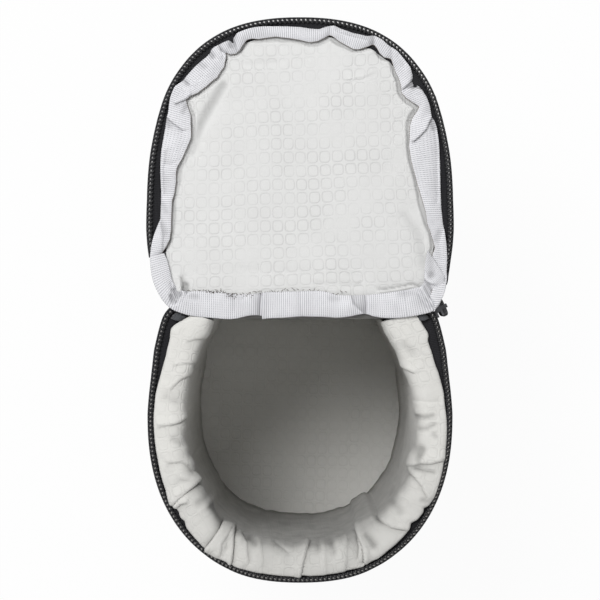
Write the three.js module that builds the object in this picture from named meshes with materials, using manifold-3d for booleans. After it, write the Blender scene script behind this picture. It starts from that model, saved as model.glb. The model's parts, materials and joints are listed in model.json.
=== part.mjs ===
import * as THREE from 'three';
import { mergeVertices } from 'three/addons/utils/BufferGeometryUtils.js';
import Module from 'manifold-3d';

const wasm = await Module();
wasm.setup();

// A padded lens pouch of woven cloth, zipped round its sides and front, its lid folded fully back.
// Millimetres, +Z up. The origin is the middle of the underside, and the hinge is at the back, +Y.

// Rim: the line of the zip seen from above, where a depth is measured forwards from the hinge line
const RIM_HEIGHT = 142;
const RIM_WIDTH = 110.6;
const RIM_LENGTH = 102.5;
const HINGE_NARROWING = 5.8;
const WIDEST_DEPTH = 42;
const CORNER_RADIUS = 8;
const LEAST_CORNER_RADIUS = 2.5;
const FRONT_SQUARENESS = 2.3;
const CORNER_STEPS = 6;
const SIDE_STEPS = 8;
const FRONT_STEPS = 13;

// Cloth and padding
const CLOTH = 1;
const BASE_CLOTH = 1.2;
const LINING = 1;
const SIDE_PADDING = 8.6;
const BACK_PADDING = 4.6;
const BASE_PADDING = 8;
const FIT_GAP = 0.3;
const PANEL_INSET = 1.5;
const BACK_CLEARANCE = 0.4;
const ROLL_CHAMFER = 1;
const ROLL_DROP = 0.4;
const PIPING_DIAMETER = 2.1;
const PIPING_SIDES = 8;

// Zip
const COIL_WIDTH = 2.4;
const COIL_HEIGHT = 2;
const COIL_SIDES = 8;
const RIM_GAP = 0.2;
const TAPE_THICKNESS = 0.8;
const POUCH_TAPE_WIDTH = 4.8;
const LID_TAPE_WIDTH = 2.7;
const POUCH_COIL_FIRST_STEP = 2;
const END_TAB_THICKNESS = 0.8;

// Hinge and hem
const HINGE_FOLD_RADIUS = 1.7;
const HINGE_FOLD_LENGTH = 80;
const HINGE_FOLD_SIDES = 24;
const HEM_LENGTH = 103;
const HEM_START = 2.4;
const HEM_WIDTH = 4.1;
const HEM_THICKNESS = 1.2;
const HEM_CORNER = 1.6;

// Lid, measured up from the rim as it lies when zipped shut
const LID_HEIGHT = 13.8;
const LID_SHOULDER = 11;
const LID_INSET_SHARES = [0, 0, 0.12, 0.4, 1];
const LID_RISE_SHARES = [0, 0.5, 0.78, 0.94, 1];
const LID_BINDING_WIDTH = 8.8;
const LID_BINDING_HEIGHT = 2.7;
const LID_BINDING_ROUND = 1.2;
const LID_BINDING_LIFT = 0.8;
const LID_LINING = 0.8;
const LID_OPEN_TURN = Math.PI;

// Zip slider, parked at the right end of the zip, and its pull
const SLIDER_TURN = THREE.MathUtils.degToRad(25);
const SLIDER_WIDTH = 5.6;
const SLIDER_LENGTH = 8;
const SLIDER_THICKNESS = 2.8;
const SLIDER_PLATE = 0.8;
const SLIDER_POST_WIDTH = 2.2;
const SLIDER_POST_LENGTH = 3;
const BRIDGE_WIDTH = 1.4;
const BRIDGE_LENGTH = 5;
const BRIDGE_BAR = 0.8;
const BRIDGE_DROP = 1;
const PULL_PIN_GAP = 0.25;
const PULL_THICKNESS = 1;
const PULL_WIDTH = 5;
const PULL_LENGTH = 14;
const PULL_EYE_WIDTH = 3;
const PULL_EYE_LENGTH = 4;
const GRIP_WIDTH = 7.4;
const GRIP_LENGTH = 17;
const GRIP_THICKNESS = 2.8;
const GRIP_OVERLAP = 7;
const GRIP_CORNER = 2.4;

// Belt tab, sewn to the back at its top and held by touch fastener at its foot
const TAB_WIDTH = 35;
const TAB_THICKNESS = 1.5;
const TAB_LENGTH = 68;
const TAB_TO_LID_GAP = 9.15;
const ANCHOR_LENGTH = 10;
const PATCH_HEIGHT = 22;
const PATCH_WIDTH = 30;
const PATCH_THICKNESS = 1;
const PATCH_MARGIN = 2;
const BELT_SLOT_DEPTH = 5.2;
const TAB_BEND_LENGTH = 9;

const HINGE_Y = RIM_LENGTH / 2;
const QUARTER_TURN = Math.PI / 2;
const BACK_FACE_Y = HINGE_Y - BACK_CLEARANCE;

// A line parallel to the rim: its inset along the sides and front, and its inset at the back
function line(side, back) {
  return { side, back };
}

function cornerRadiusOf(side) {
  return Math.max(CORNER_RADIUS - side, LEAST_CORNER_RADIUS);
}

// A line of the zip, whose corner ends at one depth whatever its inset
function zipLine(side) {
  return line(side, BACK_CLEARANCE + CORNER_RADIUS - cornerRadiusOf(side));
}

function lidLine(side) {
  return line(side, side - PANEL_INSET + BACK_CLEARANCE);
}

const FOAM_SIDE = PANEL_INSET + CLOTH + FIT_GAP;
const FOAM_BACK = BACK_CLEARANCE + CLOTH + FIT_GAP;
const LINING_SIDE = FOAM_SIDE + SIDE_PADDING + FIT_GAP;
const LINING_BACK = FOAM_BACK + BACK_PADDING + FIT_GAP;
const ROLL_SIDE = COIL_WIDTH + FIT_GAP + POUCH_TAPE_WIDTH + FIT_GAP;

const PANEL_OUTER = line(PANEL_INSET, BACK_CLEARANCE);
const PANEL_INNER = line(PANEL_INSET + CLOTH, BACK_CLEARANCE + CLOTH);
const FOAM_OUTER = line(FOAM_SIDE, FOAM_BACK);
const FOAM_INNER = line(FOAM_SIDE + SIDE_PADDING, FOAM_BACK + BACK_PADDING);
const LINING_OUTER = line(LINING_SIDE, LINING_BACK);
const LINING_INNER = line(LINING_SIDE + LINING, LINING_BACK + LINING);
const FLOOR_EDGE = line(LINING_SIDE + LINING + FIT_GAP, LINING_BACK + LINING + FIT_GAP);
const ROLL_OUTER = line(ROLL_SIDE, HEM_START);
const ROLL_FOAM = line(ROLL_SIDE + FIT_GAP, HEM_START + FIT_GAP);
const ROLL_SHOULDER = line(LINING_SIDE + LINING - ROLL_CHAMFER, LINING_BACK + LINING - ROLL_CHAMFER);

const COIL_BOTTOM = RIM_HEIGHT - RIM_GAP - COIL_HEIGHT;
const WALL_TOP = COIL_BOTTOM - FIT_GAP;
const ROLL_TOP = RIM_HEIGHT - ROLL_DROP;
const FOAM_TOP = ROLL_TOP - LINING - FIT_GAP;
const PIPING_HEIGHT = BASE_CLOTH + FIT_GAP + PIPING_DIAMETER / 2;
const WALL_BOTTOM = PIPING_HEIGHT + PIPING_DIAMETER / 2 + FIT_GAP;
const BASE_FOAM_BOTTOM = BASE_CLOTH + FIT_GAP;
const BASE_FOAM_TOP = BASE_FOAM_BOTTOM + BASE_PADDING;
const FLOOR_BOTTOM = BASE_FOAM_TOP + FIT_GAP;

// Half the rim's width at a depth, before the corners are rounded
function halfWidthAt(depth) {
  const share = Math.max(0, 1 - depth / WIDEST_DEPTH);
  return RIM_WIDTH / 2 - HINGE_NARROWING * share ** 2;
}

// The right half of a line, from its back corner to the middle of the front, as (x, depth)
function halfOutline(edge) {
  const radius = cornerRadiusOf(edge.side);
  const points = [];
  for (let step = 0; step <= CORNER_STEPS; step += 1) {
    const turn = QUARTER_TURN * (step / CORNER_STEPS);
    const depth = edge.back + radius * (1 - Math.cos(turn));
    const x = halfWidthAt(depth) - edge.side - radius * (1 - Math.sin(turn));
    points.push(new THREE.Vector2(x, depth));
  }
  for (let step = 1; step <= SIDE_STEPS; step += 1) {
    const depth = THREE.MathUtils.lerp(edge.back + radius, WIDEST_DEPTH, step / SIDE_STEPS);
    points.push(new THREE.Vector2(halfWidthAt(depth) - edge.side, depth));
  }
  const power = 2 / FRONT_SQUARENESS;
  const across = RIM_WIDTH / 2 - edge.side;
  const along = RIM_LENGTH - WIDEST_DEPTH - edge.side;
  for (let step = 1; step <= FRONT_STEPS; step += 1) {
    const turn = QUARTER_TURN * (step / FRONT_STEPS);
    const x = across * Math.max(0, Math.cos(turn)) ** power;
    points.push(new THREE.Vector2(x, WIDEST_DEPTH + along * Math.sin(turn) ** power));
  }
  return points;
}

// A whole line from the right back corner round the front to the left back corner
function outline(edge) {
  const right = halfOutline(edge);
  const left = right.slice(0, -1).reverse().map((point) => new THREE.Vector2(-point.x, point.y));
  return [...right, ...left];
}

// Triangles over a flat contour, wound the way the contour is
function capFaces(contour) {
  const sense = Math.sign(THREE.ShapeUtils.area(contour));
  return THREE.ShapeUtils.triangulateShape(contour, []).map(([a, b, c]) => {
    const area = THREE.ShapeUtils.area([contour[a], contour[b], contour[c]]);
    return Math.sign(area) === sense ? [a, b, c] : [a, c, b];
  });
}

// A closed body from its corners and faces, turned to face outwards
function closedBody(corners, faces) {
  let volume = 0;
  for (const [a, b, c] of faces) {
    volume += corners[a].dot(corners[b].clone().cross(corners[c]));
  }
  const outward = volume > 0 ? faces : faces.map(([a, b, c]) => [a, c, b]);
  const geometry = new THREE.BufferGeometry().setFromPoints(corners);
  geometry.setIndex(outward.flat());
  geometry.computeVertexNormals();
  return geometry;
}

// Two faces for each cell between neighbouring rows of corners
function addStrip(faces, rowA, rowB, rowLength, wraps) {
  const cells = wraps ? rowLength : rowLength - 1;
  for (let cell = 0; cell < cells; cell += 1) {
    const next = (cell + 1) % rowLength;
    faces.push([rowA + cell, rowB + cell, rowB + next]);
    faces.push([rowA + cell, rowB + next, rowA + next]);
  }
}

// A strip with one section, given as [line, height] corners, all the way along the rim's shape.
// It runs between two joint faces on the back, or from one station to another, or in a ring.
function band(section, { jointX = null, first = 0, last = null, ring = false } = {}) {
  const runs = section.map(([edge]) => {
    const whole = outline(edge);
    const run = whole.slice(first, last === null ? whole.length - first : last + 1);
    if (jointX !== null) {
      run.unshift(new THREE.Vector2(jointX, edge.back));
      run.push(new THREE.Vector2(-jointX, edge.back));
    }
    return run;
  });
  const stations = runs[0].length;
  const sides = section.length;
  const corners = [];
  for (let station = 0; station < stations; station += 1) {
    for (let side = 0; side < sides; side += 1) {
      const point = runs[side][station];
      corners.push(new THREE.Vector3(point.x, HINGE_Y - point.y, section[side][1]));
    }
  }
  const faces = [];
  const lengths = ring ? stations : stations - 1;
  for (let station = 0; station < lengths; station += 1) {
    addStrip(faces, station * sides, ((station + 1) % stations) * sides, sides, true);
  }
  if (!ring) {
    const contour = section.map(([edge, height]) => new THREE.Vector2(edge.side, height));
    const lastRow = (stations - 1) * sides;
    for (const [a, b, c] of capFaces(contour)) {
      faces.push([a, b, c]);
      faces.push([lastRow + a, lastRow + c, lastRow + b]);
    }
  }
  return closedBody(corners, faces);
}

// A body lofted through whole outlines, given as [line, height], closed by a face at each end
function stack(rings) {
  const corners = [];
  const faces = [];
  const count = outline(rings[0][0]).length;
  for (const [edge, height] of rings) {
    for (const point of outline(edge)) {
      corners.push(new THREE.Vector3(point.x, HINGE_Y - point.y, height));
    }
  }
  for (let ring = 0; ring + 1 < rings.length; ring += 1) {
    addStrip(faces, ring * count, (ring + 1) * count, count, true);
  }
  const lastRow = (rings.length - 1) * count;
  for (const [a, b, c] of capFaces(outline(rings[0][0]))) {
    faces.push([a, b, c]);
  }
  for (const [a, b, c] of capFaces(outline(rings[rings.length - 1][0]))) {
    faces.push([lastRow + a, lastRow + c, lastRow + b]);
  }
  return closedBody(corners, faces);
}

// A box between two opposite corners
function block(low, high) {
  const box = new THREE.Box3(new THREE.Vector3(...low), new THREE.Vector3(...high));
  const size = box.getSize(new THREE.Vector3());
  const middle = box.getCenter(new THREE.Vector3());
  return new THREE.BoxGeometry(size.x, size.y, size.z).translate(middle.x, middle.y, middle.z);
}

// A profile of (y, z) points drawn out along X, centred on the part's middle plane
function acrossBody(profile, width) {
  const shape = new THREE.Shape(profile.map(([y, z]) => new THREE.Vector2(y, z)));
  const geometry = new THREE.ExtrudeGeometry(shape, { depth: width, bevelEnabled: false });
  geometry.translate(0, 0, -width / 2);
  const swap = new THREE.Matrix4().set(0, 0, 1, 0, 1, 0, 0, 0, 0, 1, 0, 0, 0, 0, 0, 1);
  return geometry.applyMatrix4(swap);
}

// A rectangle with rounded corners
function roundedRectangle(left, bottom, right, top, radius) {
  const shape = new THREE.Shape();
  shape.absarc(right - radius, bottom + radius, radius, -QUARTER_TURN, 0);
  shape.absarc(right - radius, top - radius, radius, 0, QUARTER_TURN);
  shape.absarc(left + radius, top - radius, radius, QUARTER_TURN, 2 * QUARTER_TURN);
  shape.absarc(left + radius, bottom + radius, radius, 2 * QUARTER_TURN, 3 * QUARTER_TURN);
  return shape;
}

// Joined and cut solids
function toSolid(geometry) {
  const bare = geometry.clone();
  bare.deleteAttribute('normal');
  bare.deleteAttribute('uv');
  const merged = mergeVertices(bare);
  const vertProperties = new Float32Array(merged.attributes.position.array);
  const triVerts = new Uint32Array(merged.index.array);
  return new wasm.Manifold(new wasm.Mesh({ numProp: 3, vertProperties, triVerts }));
}

function toGeometry(solid) {
  const { vertProperties, triVerts } = solid.getMesh();
  const geometry = new THREE.BufferGeometry();
  geometry.setAttribute('position', new THREE.BufferAttribute(new Float32Array(vertProperties), 3));
  geometry.setIndex(new THREE.BufferAttribute(new Uint32Array(triVerts), 1));
  geometry.computeVertexNormals();
  return geometry;
}

function joined(geometries) {
  return toGeometry(geometries.map(toSolid).reduce((whole, solid) => whole.add(solid)));
}

// Materials
function clothMaterial(color) {
  return new THREE.MeshStandardMaterial({ color, roughness: 0.9, metalness: 0 });
}

const outerCloth = clothMaterial(0x242528);
const zipCloth = clothMaterial(0x161618);
const liningCloth = clothMaterial(0xdcdcd8);
const wallLiningCloth = clothMaterial(0xc9c9c6);
const bindingCloth = clothMaterial(0xcdcdd0);
const endTabCloth = clothMaterial(0x3c3d40);
const foam = clothMaterial(0x8d8e90);
const coilNylon = new THREE.MeshStandardMaterial({ color: 0x1b1b1d, roughness: 0.5, metalness: 0 });
const blackMetal = new THREE.MeshStandardMaterial({ color: 0x222224, roughness: 0.4, metalness: 0.8 });
const gripRubber = new THREE.MeshStandardMaterial({ color: 0x1d1d1f, roughness: 0.7, metalness: 0 });
const fastenerCloth = clothMaterial(0x19191b);

function piece(name, geometry, material) {
  const mesh = new THREE.Mesh(geometry, material);
  mesh.name = name;
  return mesh;
}

function rectangle(outer, inner, bottom, top) {
  return [[outer, bottom], [inner, bottom], [inner, top], [outer, top]];
}

// A round section about a line, as wide and high as given
function roundSection(side, back, width, height, middle, sides) {
  const section = [];
  for (let corner = 0; corner < sides; corner += 1) {
    const turn = 2 * Math.PI * ((corner + 0.5) / sides);
    const reach = (width / 2) * Math.cos(turn);
    section.push([line(side + reach, back + reach), middle + (height / 2) * Math.sin(turn)]);
  }
  return section;
}

// Where a wall strip stops on the back, and the flat back piece between begins
function backJoint(innerLine) {
  return halfOutline(innerLine)[0].x;
}

// Base of the pouch: outer cloth, padding, lining and the piping sewn in the seam round it
function addBase(pouch) {
  pouch.add(piece('base_panel', stack([[PANEL_OUTER, 0], [PANEL_OUTER, BASE_CLOTH]]), outerCloth));
  pouch.add(piece('base_foam', stack([[FOAM_OUTER, BASE_FOAM_BOTTOM], [FOAM_OUTER, BASE_FOAM_TOP]]), foam));
  const floorTop = FLOOR_BOTTOM + LINING;
  pouch.add(piece('base_lining', stack([[FLOOR_EDGE, FLOOR_BOTTOM], [FLOOR_EDGE, floorTop]]), wallLiningCloth));
  const piping = roundSection(
    PANEL_INSET, BACK_CLEARANCE, PIPING_DIAMETER, PIPING_DIAMETER, PIPING_HEIGHT, PIPING_SIDES,
  );
  pouch.add(piece('base_piping', band(piping, { ring: true }), outerCloth));
}

// Side wall: one strip of each layer round both sides and the front, turned in at the back corners
function addSideWall(pouch) {
  const panel = rectangle(PANEL_OUTER, PANEL_INNER, WALL_BOTTOM, WALL_TOP);
  pouch.add(piece('side_panel', band(panel, { jointX: backJoint(PANEL_INNER) }), outerCloth));
  const padding = [
    [FOAM_OUTER, FLOOR_BOTTOM],
    [FOAM_INNER, FLOOR_BOTTOM],
    [FOAM_INNER, FOAM_TOP],
    [ROLL_FOAM, FOAM_TOP],
    [ROLL_FOAM, WALL_TOP],
    [FOAM_OUTER, WALL_TOP],
  ];
  pouch.add(piece('side_foam', band(padding, { jointX: backJoint(FOAM_INNER) }), foam));
  const lining = [
    [LINING_OUTER, FLOOR_BOTTOM],
    [LINING_INNER, FLOOR_BOTTOM],
    [LINING_INNER, ROLL_TOP - ROLL_CHAMFER],
    [ROLL_SHOULDER, ROLL_TOP],
    [ROLL_OUTER, ROLL_TOP],
    [ROLL_OUTER, ROLL_TOP - LINING],
    [LINING_OUTER, ROLL_TOP - LINING],
  ];
  pouch.add(piece('side_lining', band(lining, { jointX: backJoint(LINING_INNER) }), wallLiningCloth));
}

// Back wall: flat pieces between the ends of the side wall's strips
function addBackWall(pouch) {
  const panelReach = backJoint(PANEL_INNER) - FIT_GAP;
  const panelTop = RIM_HEIGHT - HINGE_FOLD_RADIUS - FIT_GAP;
  const panelInside = BACK_FACE_Y - CLOTH;
  pouch.add(piece(
    'back_panel',
    block([-panelReach, panelInside, WALL_BOTTOM], [panelReach, BACK_FACE_Y, panelTop]),
    outerCloth,
  ));
  const foamReach = backJoint(FOAM_INNER) - FIT_GAP;
  const foamOutside = HINGE_Y - FOAM_OUTER.back;
  const foamInside = HINGE_Y - FOAM_INNER.back;
  pouch.add(piece(
    'back_foam',
    block([-foamReach, foamInside, FLOOR_BOTTOM], [foamReach, foamOutside, FOAM_TOP]),
    foam,
  ));
  const outside = HINGE_Y - LINING_OUTER.back;
  const inside = HINGE_Y - LINING_INNER.back;
  const turnedEdge = HINGE_Y - ROLL_OUTER.back;
  const profile = [
    [outside, FLOOR_BOTTOM],
    [outside, ROLL_TOP - LINING],
    [turnedEdge, ROLL_TOP - LINING],
    [turnedEdge, ROLL_TOP],
    [inside + ROLL_CHAMFER, ROLL_TOP],
    [inside, ROLL_TOP - ROLL_CHAMFER],
    [inside, FLOOR_BOTTOM],
  ];
  const liningWidth = 2 * (backJoint(LINING_INNER) - FIT_GAP);
  pouch.add(piece('back_lining', acrossBody(profile, liningWidth), wallLiningCloth));
}

// The zip's half on the pouch: tape, coil, and a dark cloth tab over each end of the tape
function addPouchZip(pouch) {
  const tapeSide = COIL_WIDTH + FIT_GAP;
  const tapeTop = COIL_BOTTOM + TAPE_THICKNESS;
  const tape = rectangle(zipLine(tapeSide), zipLine(tapeSide + POUCH_TAPE_WIDTH), COIL_BOTTOM, tapeTop);
  pouch.add(piece('zip_tape_body', band(tape, { first: CORNER_STEPS }), zipCloth));
  const coil = zipCoil(COIL_BOTTOM + COIL_HEIGHT / 2);
  pouch.add(piece('zip_coil_body', band(coil, { first: POUCH_COIL_FIRST_STEP }), coilNylon));
  const tabSide = tapeSide + FIT_GAP;
  const tabBottom = tapeTop + FIT_GAP;
  const tabOuter = zipLine(tabSide);
  const tabInner = line(ROLL_SIDE - 2 * FIT_GAP, HEM_START - 2 * FIT_GAP);
  const tab = rectangle(tabOuter, tabInner, tabBottom, tabBottom + END_TAB_THICKNESS);
  const stations = outline(tabOuter).length;
  const reach = CORNER_STEPS + 1;
  const rightEnd = { first: POUCH_COIL_FIRST_STEP, last: reach };
  pouch.add(piece('zip_end_right', band(tab, rightEnd), endTabCloth));
  const leftEnd = { first: stations - 1 - reach, last: stations - 1 - POUCH_COIL_FIRST_STEP };
  pouch.add(piece('zip_end_left', band(tab, leftEnd), endTabCloth));
}

// The coil's round section, whose corner keeps its own line
function zipCoil(middle) {
  return roundSection(COIL_WIDTH / 2, 0, COIL_WIDTH, COIL_HEIGHT, middle, COIL_SIDES)
    .map(([edge, height]) => [zipLine(edge.side), height]);
}

// The hinge: a rolled fold of outer cloth along the axis, and the gray hem binding beside it
function addHinge(pouch) {
  const fold = new THREE.CylinderGeometry(
    HINGE_FOLD_RADIUS, HINGE_FOLD_RADIUS, HINGE_FOLD_LENGTH, HINGE_FOLD_SIDES,
  );
  fold.rotateZ(QUARTER_TURN);
  const strip = piece('hinge_strip', fold, outerCloth);
  strip.position.set(0, HINGE_Y, RIM_HEIGHT);
  pouch.add(strip);
  const hemShape = roundedRectangle(
    -HEM_LENGTH / 2, HINGE_Y - HEM_START - HEM_WIDTH, HEM_LENGTH / 2, HINGE_Y - HEM_START, HEM_CORNER,
  );
  const hem = new THREE.ExtrudeGeometry(hemShape, {
    depth: HEM_THICKNESS, bevelEnabled: false, curveSegments: CORNER_STEPS,
  });
  hem.translate(0, 0, RIM_HEIGHT + FIT_GAP);
  pouch.add(piece('hem_binding', hem, bindingCloth));
}

// The point on the pouch's right back corner whose surface faces the slider's way
function sliderSeat() {
  const radius = cornerRadiusOf(PANEL_INSET);
  const depth = BACK_CLEARANCE + radius * (1 - Math.sin(SLIDER_TURN));
  const x = halfWidthAt(depth) - PANEL_INSET - radius * (1 - Math.cos(SLIDER_TURN));
  return new THREE.Vector2(x, HINGE_Y - depth);
}

// A group at the slider's middle, where X points away from the pouch and Z is up
function sliderFrame() {
  const frame = new THREE.Group();
  const seat = sliderSeat();
  const standOff = FIT_GAP + SLIDER_THICKNESS / 2;
  frame.position.set(
    seat.x + standOff * Math.cos(SLIDER_TURN),
    seat.y + standOff * Math.sin(SLIDER_TURN),
    WALL_TOP - SLIDER_LENGTH / 2,
  );
  frame.rotation.z = SLIDER_TURN;
  return frame;
}

const PULL_PIN_OUT = SLIDER_THICKNESS / 2 + PULL_PIN_GAP + PULL_THICKNESS / 2;

// The slider: two plates, the post between them and the bridge that holds the pull
function addSlider(pouch) {
  const half = SLIDER_THICKNESS / 2;
  const low = -SLIDER_LENGTH / 2;
  const high = SLIDER_LENGTH / 2;
  const outerPlate = block([half - SLIDER_PLATE, -SLIDER_WIDTH / 2, low], [half, SLIDER_WIDTH / 2, high]);
  const innerPlate = block([-half, -SLIDER_WIDTH / 2, low], [SLIDER_PLATE - half, SLIDER_WIDTH / 2, high]);
  const postReach = half - SLIDER_PLATE / 2;
  const post = block(
    [-postReach, -SLIDER_POST_WIDTH / 2, high - SLIDER_POST_LENGTH],
    [postReach, SLIDER_POST_WIDTH / 2, high],
  );
  const bridgeTop = high - BRIDGE_DROP;
  const bridgeFoot = bridgeTop - BRIDGE_LENGTH;
  const barInside = PULL_PIN_OUT + PULL_THICKNESS / 2 + PULL_PIN_GAP;
  const barOutside = barInside + BRIDGE_BAR;
  const sideways = BRIDGE_WIDTH / 2;
  const root = half - SLIDER_PLATE / 2;
  const bar = block([barInside, -sideways, bridgeFoot], [barOutside, sideways, bridgeTop]);
  const upperLeg = block([root, -sideways, bridgeTop - BRIDGE_BAR], [barOutside, sideways, bridgeTop]);
  const lowerLeg = block([root, -sideways, bridgeFoot], [barOutside, sideways, bridgeFoot + BRIDGE_BAR]);
  const frame = sliderFrame();
  frame.add(piece(
    'zip_slider',
    joined([outerPlate, innerPlate, post, bar, upperLeg, lowerLeg]),
    blackMetal,
  ));
  pouch.add(frame);
}

// The pull: a flat metal tab whose eye hangs on the bridge, and a rubber grip moulded on its end
function addPull(parent) {
  const pinHeight = SLIDER_LENGTH / 2 - BRIDGE_DROP - BRIDGE_BAR - PULL_PIN_GAP - PULL_THICKNESS / 2;
  const top = PULL_THICKNESS / 2;
  const tabShape = roundedRectangle(-PULL_WIDTH / 2, -PULL_LENGTH, PULL_WIDTH / 2, top, PULL_THICKNESS);
  const eyeTop = -PULL_THICKNESS / 2;
  tabShape.holes.push(roundedRectangle(
    -PULL_EYE_WIDTH / 2, eyeTop - PULL_EYE_LENGTH, PULL_EYE_WIDTH / 2, eyeTop, PULL_THICKNESS / 2,
  ));
  const gripTop = GRIP_OVERLAP - PULL_LENGTH;
  const gripFoot = gripTop - GRIP_LENGTH;
  const gripShape = roundedRectangle(-GRIP_WIDTH / 2, gripFoot, GRIP_WIDTH / 2, gripTop, GRIP_CORNER);
  const grip = upright(gripShape, GRIP_THICKNESS);
  const pocket = block(
    [-PULL_THICKNESS / 2 - FIT_GAP, -PULL_WIDTH / 2 - FIT_GAP, -PULL_LENGTH - FIT_GAP],
    [PULL_THICKNESS / 2 + FIT_GAP, PULL_WIDTH / 2 + FIT_GAP, gripTop + FIT_GAP],
  );
  const frame = sliderFrame();
  const hanging = new THREE.Group();
  hanging.position.set(PULL_PIN_OUT, 0, pinHeight);
  hanging.add(piece('pull_tab', upright(tabShape, PULL_THICKNESS), blackMetal));
  hanging.add(piece('pull_grip', toGeometry(toSolid(grip).subtract(toSolid(pocket))), gripRubber));
  frame.add(hanging);
  parent.add(frame);
}

// A shape drawn in (Y, Z) and given a thickness along X, centred on X = 0
function upright(shape, thickness) {
  const geometry = new THREE.ExtrudeGeometry(shape, {
    depth: thickness, bevelEnabled: false, curveSegments: CORNER_STEPS,
  });
  geometry.translate(0, 0, -thickness / 2);
  const swap = new THREE.Matrix4().set(0, 0, 1, 0, 1, 0, 0, 0, 0, 1, 0, 0, 0, 0, 0, 1);
  return geometry.applyMatrix4(swap);
}

const TAB_INSIDE_Y = BACK_FACE_Y + FIT_GAP;
const ANCHOR_TOP = RIM_HEIGHT - LID_HEIGHT - TAB_TO_LID_GAP;
const ANCHOR_FOOT = ANCHOR_TOP - ANCHOR_LENGTH;
const TAB_PIVOT_HEIGHT = ANCHOR_FOOT - FIT_GAP - TAB_THICKNESS / 2;
const TAB_FOOT_HEIGHT = TAB_PIVOT_HEIGHT - TAB_LENGTH;
const PATCH_BOTTOM = TAB_FOOT_HEIGHT + PATCH_MARGIN;
const HOOK_INSIDE_Y = TAB_INSIDE_Y + PATCH_THICKNESS + FIT_GAP;
const TAB_FOOT_Y = HOOK_INSIDE_Y + PATCH_THICKNESS + FIT_GAP;

// Fixed ends of the belt tab: the sewn anchor above its pivot and the loop patch at its foot
function addTabSeats(pouch) {
  const halfWidth = TAB_WIDTH / 2;
  pouch.add(piece(
    'tab_anchor',
    block(
      [-halfWidth, TAB_INSIDE_Y, ANCHOR_FOOT],
      [halfWidth, TAB_INSIDE_Y + TAB_THICKNESS, ANCHOR_TOP],
    ),
    outerCloth,
  ));
  pouch.add(piece(
    'loop_patch',
    block(
      [-PATCH_WIDTH / 2, TAB_INSIDE_Y, PATCH_BOTTOM],
      [PATCH_WIDTH / 2, TAB_INSIDE_Y + PATCH_THICKNESS, PATCH_BOTTOM + PATCH_HEIGHT],
    ),
    fastenerCloth,
  ));
}

// The belt tab: webbing that bows away from the back to leave a slot for a belt, with its hook patch
function addBeltTab(parent) {
  const bowY = BACK_FACE_Y + BELT_SLOT_DEPTH;
  const footTop = PATCH_BOTTOM + PATCH_HEIGHT + PATCH_MARGIN;
  const bowFoot = footTop + TAB_BEND_LENGTH;
  const bowTop = TAB_PIVOT_HEIGHT - TAB_BEND_LENGTH;
  const inner = [
    [TAB_FOOT_Y, TAB_FOOT_HEIGHT],
    [TAB_FOOT_Y, footTop],
    [bowY, bowFoot],
    [bowY, bowTop],
    [TAB_INSIDE_Y, TAB_PIVOT_HEIGHT],
  ];
  const outer = inner.map(([y, z]) => [y + TAB_THICKNESS, z]).reverse();
  const top = [];
  for (let step = 1; step < CORNER_STEPS; step += 1) {
    const turn = Math.PI * (1 - step / CORNER_STEPS);
    const radius = TAB_THICKNESS / 2;
    top.push([TAB_INSIDE_Y + radius + radius * Math.cos(turn), TAB_PIVOT_HEIGHT + radius * Math.sin(turn)]);
  }
  const profile = [...inner, ...top, ...outer];
  parent.add(piece('belt_tab', acrossBody(profile, TAB_WIDTH), outerCloth));
  parent.add(piece(
    'hook_patch',
    block(
      [-PATCH_WIDTH / 2, HOOK_INSIDE_Y, PATCH_BOTTOM],
      [PATCH_WIDTH / 2, HOOK_INSIDE_Y + PATCH_THICKNESS, PATCH_BOTTOM + PATCH_HEIGHT],
    ),
    fastenerCloth,
  ));
}

const LID_RIM = RIM_GAP + COIL_HEIGHT + FIT_GAP;

// Rings of the lid's dome, from its rim to its top, for a cloth face set in by a thickness
function domeRings(thickness) {
  return LID_INSET_SHARES.map((share, ring) => {
    const inset = PANEL_INSET + thickness + (LID_SHOULDER - thickness) * share;
    const rise = (LID_HEIGHT - LID_RIM - thickness) * LID_RISE_SHARES[ring];
    return [inset, RIM_HEIGHT + LID_RIM + rise];
  });
}

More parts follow.
